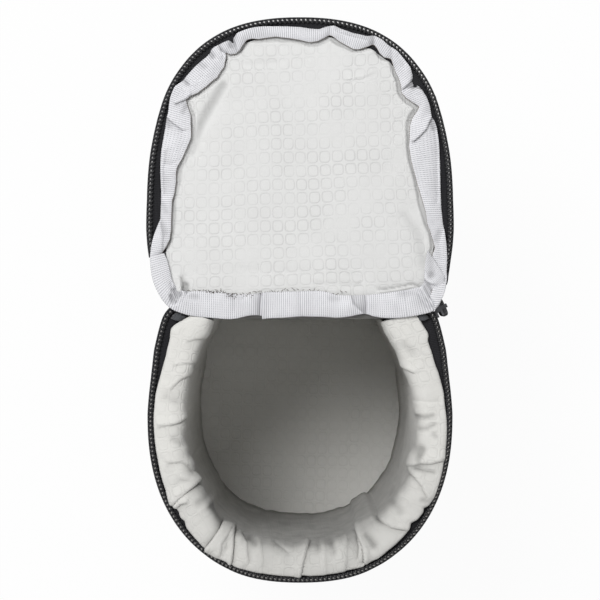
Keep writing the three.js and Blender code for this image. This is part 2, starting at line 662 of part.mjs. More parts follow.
// The lid as it lies when zipped shut: outer cloth, padding, lining, zip and binding
function addLid(lid) {
  const outerRings = domeRings(0).map(([inset, height]) => [lidLine(inset), height]);
  const innerRings = domeRings(CLOTH).map(([inset, height]) => [lidLine(inset), height]).reverse();
  lid.add(piece('lid_panel', stack([...innerRings, ...outerRings]), outerCloth));

  const bindingTop = RIM_HEIGHT + LID_BINDING_LIFT + LID_BINDING_HEIGHT;
  const liningBottom = bindingTop + FIT_GAP;
  const liningTop = liningBottom + LID_LINING;
  const cover = lidLine(PANEL_INSET + CLOTH + FIT_GAP);
  lid.add(piece('lid_lining', stack([[cover, liningBottom], [cover, liningTop]]), liningCloth));

  const paddingRings = domeRings(CLOTH)
    .slice(1)
    .map(([inset, height]) => [lidLine(inset + FIT_GAP), height - FIT_GAP]);
  lid.add(piece('lid_foam', stack([[cover, liningTop + FIT_GAP], ...paddingRings]), foam));

  const coilBottom = RIM_HEIGHT + RIM_GAP;
  const coil = zipCoil(coilBottom + COIL_HEIGHT / 2);
  lid.add(piece('zip_coil_lid', band(coil, { first: CORNER_STEPS }), coilNylon));
  const tapeSide = COIL_WIDTH + FIT_GAP;
  const tapeTop = coilBottom + COIL_HEIGHT;
  const tapeInner = tapeSide + LID_TAPE_WIDTH;
  const tape = rectangle(zipLine(tapeSide), zipLine(tapeInner), tapeTop - TAPE_THICKNESS, tapeTop);
  lid.add(piece('zip_tape_lid', band(tape, { first: CORNER_STEPS }), zipCloth));

  const bindingOuter = tapeInner + FIT_GAP;
  const bindingInner = bindingOuter + LID_BINDING_WIDTH;
  const bindingBottom = RIM_HEIGHT + LID_BINDING_LIFT;
  const binding = [
    [zipLine(bindingOuter), bindingTop],
    [zipLine(bindingOuter), bindingBottom + LID_BINDING_ROUND],
    [zipLine(bindingOuter + LID_BINDING_ROUND), bindingBottom],
    [zipLine(bindingInner - LID_BINDING_ROUND), bindingBottom],
    [zipLine(bindingInner), bindingBottom + LID_BINDING_ROUND],
    [zipLine(bindingInner), bindingTop],
  ];
  lid.add(piece('lid_binding', band(binding, { first: CORNER_STEPS }), bindingCloth));
}

// The lid turns about the rim's back edge, and lies folded fully back
function openLid() {
  const turned = new THREE.Group();
  turned.position.set(0, HINGE_Y, RIM_HEIGHT);
  turned.rotation.x = LID_OPEN_TURN;
  const shut = new THREE.Group();
  shut.position.set(0, -HINGE_Y, -RIM_HEIGHT);
  addLid(shut);
  turned.add(shut);
  return turned;
}

const group = new THREE.Group();
addBase(group);
addSideWall(group);
addBackWall(group);
addPouchZip(group);
addHinge(group);
addSlider(group);
addPull(group);
addTabSeats(group);
addBeltTab(group);
group.add(openLid());

export default group;
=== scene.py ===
import json
import math

import bmesh
import bpy
import numpy as np
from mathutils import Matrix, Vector, noise


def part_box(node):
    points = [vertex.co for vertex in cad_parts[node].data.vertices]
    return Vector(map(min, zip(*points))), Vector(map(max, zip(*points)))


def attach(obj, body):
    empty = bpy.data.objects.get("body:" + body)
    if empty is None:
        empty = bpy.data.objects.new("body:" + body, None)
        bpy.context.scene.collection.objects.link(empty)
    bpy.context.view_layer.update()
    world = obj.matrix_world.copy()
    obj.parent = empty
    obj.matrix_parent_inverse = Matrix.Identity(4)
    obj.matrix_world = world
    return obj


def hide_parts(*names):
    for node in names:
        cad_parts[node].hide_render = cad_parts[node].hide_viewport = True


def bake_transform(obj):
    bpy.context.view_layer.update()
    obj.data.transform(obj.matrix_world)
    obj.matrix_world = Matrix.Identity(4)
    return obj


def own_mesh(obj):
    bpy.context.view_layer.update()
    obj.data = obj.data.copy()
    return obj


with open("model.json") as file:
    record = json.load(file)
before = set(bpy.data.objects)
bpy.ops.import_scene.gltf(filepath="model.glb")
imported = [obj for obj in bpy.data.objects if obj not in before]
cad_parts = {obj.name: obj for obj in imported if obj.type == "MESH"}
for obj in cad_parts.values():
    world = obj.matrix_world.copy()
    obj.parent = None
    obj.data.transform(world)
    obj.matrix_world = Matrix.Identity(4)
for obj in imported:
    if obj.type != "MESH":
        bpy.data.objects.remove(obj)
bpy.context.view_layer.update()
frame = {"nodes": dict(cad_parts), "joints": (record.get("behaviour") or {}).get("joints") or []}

# Studio. The open pouch stands on a pale floor under soft, even light, and is seen from straight
# above, so that the rim and the folded-back lid fill the picture.
hinge_low, hinge_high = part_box("hinge_strip")
hinge = (hinge_low + hinge_high) / 2
camera_height = 0.9
picture_half_width = 0.1085
floor_reach = 1.6
floor_shade = (0.86, 0.86, 0.86, 1)
world_light = 0.37
key_place, key_size, key_power = (-0.38, 0.5, 1.2), 0.5, 11.5
fill_place, fill_size, fill_power = (0.55, -0.45, 1.3), 1.0, 1.6
white = (1, 1, 1, 1)
shadow_kept = 0.05

scene = bpy.context.scene
scene.view_settings.view_transform = "Standard"


def put_in_scene(name, data):
    """A new object in the scene, made of its data."""
    thing = bpy.data.objects.new(name, data)
    scene.collection.objects.link(thing)
    return thing


camera_data = bpy.data.cameras.new("camera")
camera_data.angle = 2 * math.atan(picture_half_width / camera_height)
camera = put_in_scene("camera", camera_data)
camera.location = (hinge.x, hinge.y, hinge.z + camera_height)
scene.camera = camera


def feed(material, node, sockets):
    """Give a node's sockets their numbers, their colours or other nodes' outputs."""
    for socket, value in sockets.items():
        if isinstance(value, bpy.types.NodeSocket):
            material.node_tree.links.new(value, node.inputs[socket])
        else:
            node.inputs[socket].default_value = value


def add_node(material, kind, sockets=None, **settings):
    """One node of a finish, with its sockets fed and its settings made."""
    node = material.node_tree.nodes.new("ShaderNode" + kind)
    for setting, value in settings.items():
        setattr(node, setting, value)
    feed(material, node, sockets or {})
    return node


def reckon(material, operation, *values, kind="Math"):
    """One step of arithmetic on numbers, or on vectors, inside a finish."""
    return add_node(material, kind, dict(enumerate(values)), operation=operation).outputs[0]


def mapped(material, value, low, high, start=0.0, end=1.0, **settings):
    """A value carried over from the range of start and end to the range of low and high."""
    node = add_node(material, "MapRange", {"Value": value, "From Min": start, "From Max": end,
                                           "To Min": low, "To Max": high}, **settings)
    return node.outputs[0]


def seen_directly(tree_owner):
    """1 where the camera looks straight at a surface, or sees it in a gloss or through glass."""
    path = add_node(tree_owner, "LightPath").outputs
    mirrored = reckon(tree_owner, "MAXIMUM", path["Is Camera Ray"], path["Is Glossy Ray"])
    return reckon(tree_owner, "MAXIMUM", mirrored, path["Is Transmission Ray"])


world = bpy.data.worlds.new("soft_room")
world.use_nodes = True
scene.world = world
feed(world, world.node_tree.nodes["Background"], {
    "Color": white, "Strength": mapped(world, seen_directly(world), world_light, 1.0)})


def new_finish(name):
    """A new material that is made of nodes."""
    material = bpy.data.materials.new(name)
    material.use_nodes = True
    return material


def set_shader(material, sockets):
    """Give a finish's shader its colour, its relief and its plain values."""
    feed(material, material.node_tree.nodes["Principled BSDF"], sockets)
    return material


floor_paint = set_shader(new_finish("pale_floor"), {"Base Color": floor_shade, "Roughness": 0.9})
glow = add_node(floor_paint, "Emission", {"Color": white, "Strength": 1.0})
glow_share = reckon(floor_paint, "MULTIPLY", seen_directly(floor_paint), 1 - shadow_kept)
floor_mix = add_node(floor_paint, "MixShader", {
    0: glow_share, 1: floor_paint.node_tree.nodes["Principled BSDF"].outputs[0], 2: glow.outputs[0]})
feed(floor_paint, floor_paint.node_tree.nodes["Material Output"], {"Surface": floor_mix.outputs[0]})
floor_mesh = bpy.data.meshes.new("floor")
floor_mesh.from_pydata([(x * floor_reach, y * floor_reach, 0) for x, y in (
    (-1, -1), (1, -1), (1, 1), (-1, 1))], [], [(0, 1, 2, 3)])
floor_mesh.materials.append(floor_paint)
put_in_scene("floor", floor_mesh)

for lamp_name, place, size, power in (("key_lamp", key_place, key_size, key_power),
                                      ("fill_lamp", fill_place, fill_size, fill_power)):
    lamp_data = bpy.data.lights.new(lamp_name, "AREA")
    lamp_data.size = size
    lamp_data.energy = power
    lamp = put_in_scene(lamp_name, lamp_data)
    lamp.location = place
    aim = Vector((0, hinge.y, hinge.z)) - lamp.location
    lamp.rotation_euler = aim.to_track_quat("-Z", "Y").to_euler()

# Base. A flat panel of charcoal nylon under the pouch, cut to the rim's shape and sewn to the
# side wall all round. It lies on whatever the pouch stands on.
base_low, base_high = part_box("base_panel")
panel_inset = 0.0015
half_width = base_high.x + panel_inset
rim_length = hinge.y - base_low.y + panel_inset
hinge_narrowing = 0.0058
widest_depth = 0.042
corner_radius = 0.008
least_corner_radius = 0.0025
front_squareness = 2.3
corner_steps, side_steps, front_steps = 18, 36, 60
charcoal, charcoal_bright = (34, 35, 38), (70, 72, 77)
nylon_thread = 0.00062
face_rings, innermost_share = 14, 0.0005
lid_depth_shares = (0, 0.053, 0.088, 0.14, 0.194, 0.247, 0.3, 0.352, 0.458, 0.564, 0.617, 0.669,
                    0.722, 0.775, 0.827, 0.88, 0.934, 0.986)
lid_spread_shares = (1.065, 1.05, 1.040, 1.034, 1.031, 1.025, 1.015, 1.006, 0.996, 0.987, 0.986, 0.989,
                     0.997, 1.004, 1.010, 1.024, 1.045, 1.08)
pouch_depth_shares = (0, 0.07, 0.123, 0.176, 0.23, 0.28, 0.335, 0.4, 0.9, 0.95, 0.985)
pouch_spread_shares = (0.974, 0.977, 0.984, 0.990, 0.988, 0.989, 0.994, 1.0, 1.0, 1.01, 1.05)


def half_width_at(depth):
    """Half the rim's width at a depth forwards from the hinge, before its corners are rounded."""
    return half_width - hinge_narrowing * np.maximum(0, 1 - depth / widest_depth) ** 2


def rim_line(side, back, radius=None):
    """A line round the rim, moved in by side, as rows of (x, depth) from the right to the left."""
    if radius is None:
        radius = max(corner_radius - side, least_corner_radius)
    turn = np.linspace(0, math.pi / 2, corner_steps + 1)
    depth = back + radius * (1 - np.cos(turn))
    corner = np.column_stack([half_width_at(depth) - side - radius * (1 - np.sin(turn)), depth])
    depth = np.linspace(back + radius, widest_depth, side_steps + 1)[1:]
    flank = np.column_stack([half_width_at(depth) - side, depth])
    turn = np.linspace(0, math.pi / 2, front_steps + 1)[1:]
    power = 2 / front_squareness
    front = np.column_stack([
        (half_width - side) * np.abs(np.cos(turn)) ** power,
        widest_depth + (rim_length - widest_depth - side) * np.sin(turn) ** power])
    right = np.concatenate([corner, flank, front])
    return np.concatenate([right, right[-2::-1] * (-1, 1)])


def on_pouch(flat, height):
    """Points of (x, depth) at heights above the floor, on the pouch, which is drawn in by the hinge."""
    height = np.broadcast_to(height, flat.shape[:-1])
    spread = np.interp(flat[..., 1] / rim_length, pouch_depth_shares, pouch_spread_shares)
    return np.stack([flat[..., 0] * spread, hinge.y - flat[..., 1], height], axis=-1)


def on_lid(flat, rise):
    """Points of (x, depth) on the open lid, where rise is measured from the rim into the lid.

    The lid lies flatter than the pouch's rim stands: wider by the hinge, and narrower in its middle."""
    rise = np.broadcast_to(rise, flat.shape[:-1])
    spread = np.interp(flat[..., 1] / rim_length, lid_depth_shares, lid_spread_shares)
    return np.stack([flat[..., 0] * spread, hinge.y + flat[..., 1], hinge.z - rise], axis=-1)


def lengths_along(points, closed=False):
    """How far each point lies along a line, and the line's end."""
    steps = np.linalg.norm(np.diff(points, axis=0), axis=-1)
    if closed:
        steps = np.append(steps, np.linalg.norm(points[0] - points[-1]))
    return np.concatenate([[0], np.cumsum(steps)])


def new_piece(name, points, faces, finish):
    """A smooth skin of points and faces in its finish."""
    mesh = bpy.data.meshes.new(name)
    mesh.from_pydata(points.reshape(-1, 3).tolist(), [], faces)
    mesh.polygons.foreach_set("use_smooth", [True] * len(mesh.polygons))
    mesh.materials.append(finish)
    return put_in_scene(name, mesh)


def face_outwards(piece):
    """Turn the faces of a closed skin to point out of it."""
    turned = bmesh.new()
    turned.from_mesh(piece.data)
    bmesh.ops.recalc_face_normals(turned, faces=turned.faces)
    turned.to_mesh(piece.data)
    turned.free()


def loft(name, rows, finish, ring=False, tube=False, along=None, across=None, thickness=0.0, shade=None):
    """A skin through rows of points. A ring joins its last row to its first, and a tube its last
    column to its first; a skin that is neither is given a thickness to close it. Shade is how much
    painted shade darkens each point, from 0 to 1."""
    rows = np.asarray(rows, float)
    count, width = rows.shape[:2]
    along = lengths_along(rows.mean(axis=1), ring) if along is None else along
    across = lengths_along(rows[count // 2], tube) if across is None else across
    across = np.broadcast_to(across, (count + ring, len(across))) if across.ndim == 1 else across
    along = np.broadcast_to(along[:, None], across.shape) if along.ndim == 1 else along
    i, j = np.meshgrid(np.arange(count - 1 + ring), np.arange(width - 1 + tube), indexing="ij")
    i, j = i.ravel(), j.ravel()
    corners = [(i, j), (i + 1, j), (i + 1, j + 1), (i, j + 1)]
    faces = np.stack([(a % count) * width + b % width for a, b in corners], axis=1).tolist()
    if tube and not ring:
        faces += [list(range(width)), list(range((count - 1) * width, count * width))[::-1]]
    if ring and not tube:
        faces += [list(range(0, count * width, width)), list(range(width - 1, count * width, width))[::-1]]
    piece = new_piece(name, rows, faces, finish)
    mesh = piece.data
    laid = np.stack([np.stack([along[a, b], across[a, b]], axis=1) for a, b in corners], axis=1)
    flat = np.zeros((len(mesh.loops), 2), np.float32)
    flat[:laid.shape[0] * 4] = laid.reshape(-1, 2)
    mesh.uv_layers.new(name="UVMap").data.foreach_set("uv", flat.ravel())
    if shade is not None:
        painted_shade_layer = mesh.attributes.new("shade", "FLOAT", "POINT")
        painted_shade_layer.data.foreach_set("value", np.asarray(shade, np.float32).ravel())
    if thickness:
        solid = piece.modifiers.new("thickness", "SOLIDIFY")
        solid.thickness = thickness
        solid.offset = -1
    else:
        face_outwards(piece)
    return piece


def colour(shades, strength=1.0):
    """A written colour, 0 to 255, as a shader takes it."""
    shares = [min(1.0, shade * strength / 255) for shade in shades]
    return tuple(s / 12.92 if s < 0.04 else ((s + 0.055) / 1.055) ** 2.4 for s in shares) + (1.0,)


def mix_colours(material, factor, low, high):
    """A colour between two, by a factor."""
    return add_node(material, "Mix", {0: factor, 6: low, 7: high}, data_type="RGBA").outputs[2]


def scaled(material, shades, share):
    """A colour made darker or lighter by a share."""
    return add_node(material, "VectorMath", {0: shades, "Scale": share}, operation="SCALE").outputs[0]


def raised(material, height, depth, strength=1.0):
    """The relief of a height, as deep as that."""
    node = add_node(material, "Bump", {"Height": height, "Strength": strength, "Distance": depth})
    return node.outputs[0]


def texture(material, kind, scale, place=None, **settings):
    """A texture's value over the piece itself, or over another place."""
    if place is None:
        place = add_node(material, "TexCoord").outputs["Object"]
    node = add_node(material, "Tex" + kind, {"Vector": place, "Scale": scale}, **settings)
    return node.outputs["Distance" if kind == "Voronoi" else "Fac"]


def mottle(material, size, low, high, detail=3.0):
    """A soft blotchy value from low to high, in patches of about that size."""
    place = add_node(material, "TexCoord").outputs["Object"]
    cloud = add_node(material, "TexNoise", {"Vector": place, "Scale": 1 / size, "Detail": detail})
    return mapped(material, cloud.outputs[0], low, high, 0.3, 0.7)


def with_painted_shade(material, shades, tone):
    """A colour scaled by a tone, and darkened by the painted shade that the piece carries."""
    shade = add_node(material, "Attribute", attribute_name="shade").outputs["Fac"]
    unshaded_share = reckon(material, "SUBTRACT", 1.0, shade)
    return scaled(material, shades, reckon(material, "MULTIPLY", tone, unshaded_share))


def weave(material, warp, weft):
    """The height of a plain weave, 0 to 1, with threads warp and weft apart."""
    place = add_node(material, "UVMap").outputs[0]
    counted = reckon(material, "MULTIPLY", place, (1 / warp, 1 / weft, 0), kind="VectorMath")
    one_thread = math.pi / 10
    lengthways = texture(material, "Wave", one_thread, counted)
    crossways = texture(material, "Wave", one_thread, counted, bands_direction="Y")
    over = texture(material, "Checker", 1.0, counted)
    return add_node(material, "Mix", {0: over, 2: lengthways, 3: crossways}).outputs[0]


def finish_cloth(name, deep, bright, threads, relief=0.00012, sheen=0.15, patch=0.012,
                 unevenness=0.12):
    """A woven cloth whose threads stand up from darker gaps, unevenly toned as real cloth is."""
    material = new_finish(name)
    height = weave(material, *threads)
    threads_colour = mix_colours(material, height, colour(deep), colour(bright))
    tone = mottle(material, patch, 1 - unevenness, 1 + unevenness)
    return set_shader(material, {
        "Base Color": with_painted_shade(material, threads_colour, tone),
        "Normal": raised(material, height, relief, 0.6), "Roughness": 0.85, "Sheen Weight": sheen,
        "Sheen Roughness": 0.5, "Specular IOR Level": 0.2})


def uneven(points, size, seed):
    """A smooth random value from -1 to 1 at each point, in lumps of about that size."""
    shift = Vector((seed * 3.7, seed * 1.3, seed * 7.1))
    flat = np.asarray(points, float).reshape(-1, 3) / size
    values = [noise.noise(Vector(point) + shift) for point in flat]
    return np.array(values).reshape(np.shape(points)[:-1])


def filled_face(outline, height_of):
    """Rows that fill an outline towards its middle, for the flat of a base, floor or lid top."""
    middle = np.array([0.0, outline[:, 1].mean()])
    shares = [1 - step / face_rings for step in range(face_rings)] + [innermost_share]
    return [height_of(middle + (outline - middle) * share, share) for share in shares]


outer_cloth = finish_cloth("charcoal_nylon", charcoal, charcoal_bright,
                           (nylon_thread, nylon_thread), relief=0.00016)
base_back = hinge.y - base_high.y
base_edge = rim_line(panel_inset, base_back)
edge_round = 0.0004


def base_rows(under):
    """The panel's face, from its edge to its middle, under or on top."""
    level = base_low.z if under else base_high.z
    return filled_face(rim_line(panel_inset + edge_round, base_back + edge_round),
                       lambda flat, share: on_pouch(flat, level))


base_skin = (base_rows(True)[::-1] + [on_pouch(base_edge, base_low.z + edge_round)]
             + [on_pouch(base_edge, base_high.z - edge_round)] + base_rows(False))
base_cloth = loft("base_cloth", np.stack(base_skin, axis=1), outer_cloth, ring=True)
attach(base_cloth, "pouch")
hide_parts("base_panel")

# Piping. A cord wrapped in a bias strip of the same nylon, caught in the seam between the base and
# the side wall, all the way round.
piping_low, piping_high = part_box("base_piping")
piping_radius = (piping_high.z - piping_low.z) / 2
piping_height = (piping_high.z + piping_low.z) / 2
bias_thread = 0.00045


def unit(directions):
    """Directions brought to length 1."""
    return directions / np.linalg.norm(directions, axis=-1, keepdims=True)


def square_to(directions, ahead):
    """Directions turned square to those ahead, at length 1."""
    return unit(directions - ahead * (directions * ahead).sum(axis=1)[:, None])


def tube_rows(points, radius, sides, sideways=None, closed=False):
    """Rows of a round tube along a line of points; sideways is the direction its first side faces."""
    if closed:
        ahead = unit(np.roll(points, -1, axis=0) - np.roll(points, 1, axis=0))
    else:
        ahead = unit(np.gradient(points, axis=0))
    sideways = square_to(np.cross(ahead, (0, 0, 1)) if sideways is None else sideways, ahead)
    upward = np.cross(sideways, ahead)
    turn = np.linspace(0, 2 * math.pi, sides, endpoint=False)[None, :, None]
    return points[:, None] + radius * (sideways[:, None] * np.cos(turn) + upward[:, None] * np.sin(turn))


def read_at(values, lengths, wanted):
    """Values along a line, read off at other lengths of it."""
    columns = [np.interp(wanted, lengths, values[:, axis]) for axis in range(values.shape[1])]
    return np.stack(columns, axis=1)


def resample(points, spacing):
    """The same line with its points an even distance apart."""
    lengths = lengths_along(points)
    count = max(2, int(round(lengths[-1] / spacing)) + 1)
    return read_at(points, lengths, np.linspace(0, lengths[-1], count))


piping_step = 0.0012
piping_line = resample(rim_line(panel_inset, base_back), piping_step)
piping_middle = on_pouch(piping_line, piping_height)
piping = loft("base_edge_piping", tube_rows(piping_middle, piping_radius, 12, closed=True),
              finish_cloth("bias_nylon", charcoal, charcoal_bright, (bias_thread, bias_thread)),
              ring=True, tube=True)
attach(piping, "pouch")
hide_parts("base_piping")

# Side wall cloth. One strip of charcoal nylon goes round both sides and the front, swelled a
# little by the padding behind it, and is top-stitched under the zip and above the piping.
side_low, side_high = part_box("side_panel")
panel_cloth = 0.001
wall_back = hinge.y - side_high.y
wall_joint = rim_line(panel_inset + panel_cloth, wall_back + panel_cloth)[0, 0]
wall_swell = 0.0009
wall_waves = ((0.021, 0.00042, 3), (0.009, 0.00012, 8))
wall_step, wall_rows = 0.0012, 64


def with_ends(line, reach):
    """A line round the rim that also turns in along the back, as far as reach."""
    return np.concatenate([[[reach, line[0, 1]]], line, [[-reach, line[-1, 1]]]])


def inward_of(line):
    """The direction, at each point of a line round the rim, that points into the pouch."""
    ahead = unit(np.gradient(line, axis=0))
    return np.stack([-ahead[:, 1], ahead[:, 0]], axis=1)


def soften(values, reach):
    """Values along a line with their corners eased over a number of neighbours."""
    window = np.hanning(2 * reach + 3)[1:-1]
    padded = np.pad(values, [(reach, reach)] + [(0, 0)] * (values.ndim - 1), mode="edge")
    if values.ndim == 1:
        return np.convolve(padded, window / window.sum(), mode="valid")
    return np.stack([soften(values[:, axis], reach) for axis in range(values.shape[1])], axis=1)


wall_line = resample(with_ends(rim_line(panel_inset, wall_back), wall_joint), wall_step)
wall_inward = soften(inward_of(wall_line), 2)
wall_heights = np.linspace(side_low.z, side_high.z, wall_rows)
share_up = (wall_heights - side_low.z) / (side_high.z - side_low.z)
on_sides = np.clip((wall_line[:, 1] - wall_back) / corner_radius, 0, 1)
outer_face = on_pouch(np.repeat(wall_line[:, None], wall_rows, axis=1), wall_heights)
swell = wall_swell * on_sides[:, None] * np.sin(math.pi * share_up)[None] ** 0.6
for wave_size, wave_depth, seed in wall_waves:
    swell = swell + wave_depth * uneven(outer_face, wave_size, seed) * on_sides[:, None] * np.minimum(
        1, 6 * share_up * (1 - share_up))[None]
outward = np.stack([-wall_inward[:, 0], wall_inward[:, 1], np.zeros(len(wall_line))], axis=1)
outer_face = outer_face + swell[:, :, None] * outward[:, None]
inner_face = outer_face[:, ::-9] - panel_cloth * outward[:, None]
side_cloth = loft("side_cloth", np.concatenate([outer_face, inner_face], axis=1), outer_cloth, tube=True)
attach(side_cloth, "pouch")
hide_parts("side_panel")

stitch_length, stitch_gap, stitch_radius = 0.0024, 0.0009, 0.00022
top_seam_drop, foot_seam_rise, side_seam_lift = 0.0034, 0.0026, 0.6


def finish_thread(name, shade, roughness=0.55):
    """Twisted sewing thread, with its strands as fine slanting ridges."""
    material = new_finish(name)
    strands = texture(material, "Wave", 900.0, bands_direction="DIAGONAL")
    return set_shader(material, {
        "Base Color": mix_colours(material, strands, colour(shade, 0.72), colour(shade, 1.12)),
        "Normal": raised(material, strands, 0.00005), "Roughness": roughness})


def stitches(name, places, ahead, upward, finish, length, radius):
    """Separate stitches, each a short thread whose two ends dive into the cloth."""
    places, ahead, upward = (np.asarray(values, float) for values in (places, ahead, upward))
    ahead = unit(ahead)
    upward = square_to(upward, ahead)
    sideways = np.cross(ahead, upward)
    reach_shares = np.array([-1, -0.8, -0.35, 0.35, 0.8, 1]) / 2
    girth_shares = np.array([0.5, 0.9, 1, 1, 0.9, 0.5])
    dip_shares = np.array([-1.5, -0.5, 0, 0, -0.5, -1.5])
    turn = np.linspace(0, 2 * math.pi, 6, endpoint=False)
    side_part = girth_shares[:, None] * np.cos(turn) * radius
    up_part = girth_shares[:, None] * np.sin(turn) * radius + dip_shares[:, None] * radius
    points = (places[:, None, None] + ahead[:, None, None] * (reach_shares * length)[None, :, None, None]
              + sideways[:, None, None] * side_part[None, :, :, None]
              + upward[:, None, None] * up_part[None, :, :, None])
    rings, sides = len(reach_shares), len(turn)
    one = [[r * sides + s, (r + 1) * sides + s, (r + 1) * sides + (s + 1) % sides,
            r * sides + (s + 1) % sides] for r in range(rings - 1) for s in range(sides)]
    one += [list(range(sides))[::-1], list(range((rings - 1) * sides, rings * sides))]
    starts = range(0, len(places) * rings * sides, rings * sides)
    faces = [[start + corner for corner in face] for start in starts for face in one]
    piece = new_piece(name, points, faces, finish)
    face_outwards(piece)
    return piece


def seam(name, line, upward, finish):
    """A row of stitches along a line of points."""
    lengths = lengths_along(line)
    wanted = np.arange(stitch_length, lengths[-1] - stitch_length, stitch_length + stitch_gap)
    places, ahead, up = (read_at(values, lengths, wanted)
                         for values in (line, np.gradient(line, axis=0), upward))
    return stitches(name, places, ahead, up, finish, stitch_length, stitch_radius)


dark_thread = finish_thread("dark_thread", (58, 60, 64))
for seam_name, seam_height in (("side_top_stitching", side_high.z - top_seam_drop),
                               ("side_foot_stitching", side_low.z + foot_seam_rise)):
    nearest = np.abs(wall_heights - seam_height).argmin()
    line = outer_face[:, nearest] + outward * stitch_radius * side_seam_lift
    line[:, 2] = seam_height
    side_seam = seam(seam_name, line, outward, dark_thread)
    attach(side_seam, "pouch")

# Back wall cloth. A flat panel of the same nylon between the two ends of the side strip, which
# meet it in a plain seam at each corner. It stays flat, because the belt tab lies on it.
back_low, back_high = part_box("back_panel")
back_rows, back_columns = 70, 90
back_dimple = 0.00025


def slab_rows(low, high, across_count, up_count, edge, dimple, seed=1, size=0.02):
    """A thin upright panel as rows along X, whose outer face is a little uneven."""
    xs = np.linspace(low.x, high.x, across_count)
    zs = np.linspace(low.z + edge, high.z - edge, up_count)
    grid = np.stack(np.meshgrid(xs, zs, indexing="ij"), axis=-1)
    outside = np.stack([grid[..., 0], np.full(grid.shape[:2], high.y), grid[..., 1]], axis=-1)
    outside[..., 1] -= dimple * (0.5 + 0.5 * uneven(outside, size, seed))
    inside, top, foot = outside[:, ::-6].copy(), outside[:, -1:].copy(), outside[:, :1].copy()
    inside[..., 1] = low.y
    top[..., 1:] += (-edge, edge)
    foot[..., 1:] -= edge
    return np.concatenate([foot, outside, top, inside], axis=1)


back_cloth = loft("back_cloth", slab_rows(back_low, back_high, back_rows, back_columns, edge_round,
                                          back_dimple, 5), outer_cloth, tube=True)
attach(back_cloth, "pouch")
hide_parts("back_panel")
corner_seam_inset, seam_points = 0.0018, 60
for side_name, side in (("right", 1), ("left", -1)):
    seam_line = np.array([[side * (back_high.x - corner_seam_inset), back_high.y, height]
                          for height in np.linspace(side_low.z, back_high.z, seam_points)])
    backwards = np.tile((0.0, 1.0, 0.0), (seam_points, 1))
    corner_seam = seam(f"back_seam_{side_name}", seam_line, backwards, dark_thread)
    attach(corner_seam, "pouch")

# Padding. Gray open-cell foam stands between the outer cloth and the lining in the base, the side
# wall, the back wall and the lid, each cut from sheet and only held by the seams round it.
foam_shade, foam_deep = (150, 151, 153), (96, 97, 99)
foam_cell = 0.0011
pad_round, pad_fill = 0.0009, 0.9
edge_round_shares = (0.15, 0.5, 0.85)


def finish_foam(name):
    """Open-cell foam, pitted all over with small dark cells."""
    material = new_finish(name)
    cells = texture(material, "Voronoi", 1 / foam_cell)
    return set_shader(material, {
        "Base Color": mix_colours(material, cells, colour(foam_deep), colour(foam_shade)),
        "Normal": raised(material, cells, 0.0004), "Roughness": 0.95})


foam_finish = finish_foam("gray_foam")
foam_low, foam_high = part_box("base_foam")
foam_side = half_width - foam_high.x
foam_back = hinge.y - foam_high.y
base_pad_edge = rim_line(foam_side, foam_back)
base_pad_flat = rim_line(foam_side + pad_round, foam_back + pad_round)
base_pad = filled_face(base_pad_flat, lambda flat, share: on_pouch(flat, foam_low.z))[::-1]
for share in edge_round_shares:
    base_pad.append(on_pouch(base_pad_edge, foam_low.z + (foam_high.z - foam_low.z) * share))
base_pad += filled_face(base_pad_flat, lambda flat, share: on_pouch(flat, foam_high.z))
base_padding = loft("base_padding", np.stack(base_pad, axis=1), foam_finish, ring=True)
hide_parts("base_foam")
side_foam_low, side_foam_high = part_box("side_foam")
side_padding_depth, back_padding_depth = 0.0086, 0.0046
foam_inner = (foam_side + side_padding_depth, foam_back + back_padding_depth)
foam_reach = rim_line(*foam_inner)[0, 0]
padding_section = [
    (foam_side, foam_back, side_foam_low.z), (foam_inner[0], foam_inner[1], side_foam_low.z),
    (foam_inner[0], foam_inner[1], side_foam_high.z - 4 * pad_round),
    (foam_inner[0] - pad_round, foam_inner[1] - pad_round, side_foam_high.z - 2 * pad_round),
    (foam_side + side_padding_depth / 2, foam_back + back_padding_depth / 2, side_foam_high.z - pad_round),
    (foam_side + pad_round, foam_back + pad_round, side_high.z - pad_round),
    (foam_side, foam_back, side_high.z - 2 * pad_round)]
side_pad = [on_pouch(with_ends(rim_line(side, back), foam_reach), height)
            for side, back, height in padding_section]
side_padding = loft("side_padding", np.stack(side_pad, axis=1), foam_finish, tube=True)
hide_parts("side_foam")
back_foam_low, back_foam_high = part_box("back_foam")
back_padding = loft("back_padding", slab_rows(back_foam_low, back_foam_high, 40, 50, pad_round, 0.0),
                    foam_finish, tube=True)
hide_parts("back_foam")
for pad in (base_padding, side_padding, back_padding):
    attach(pad, "pouch")

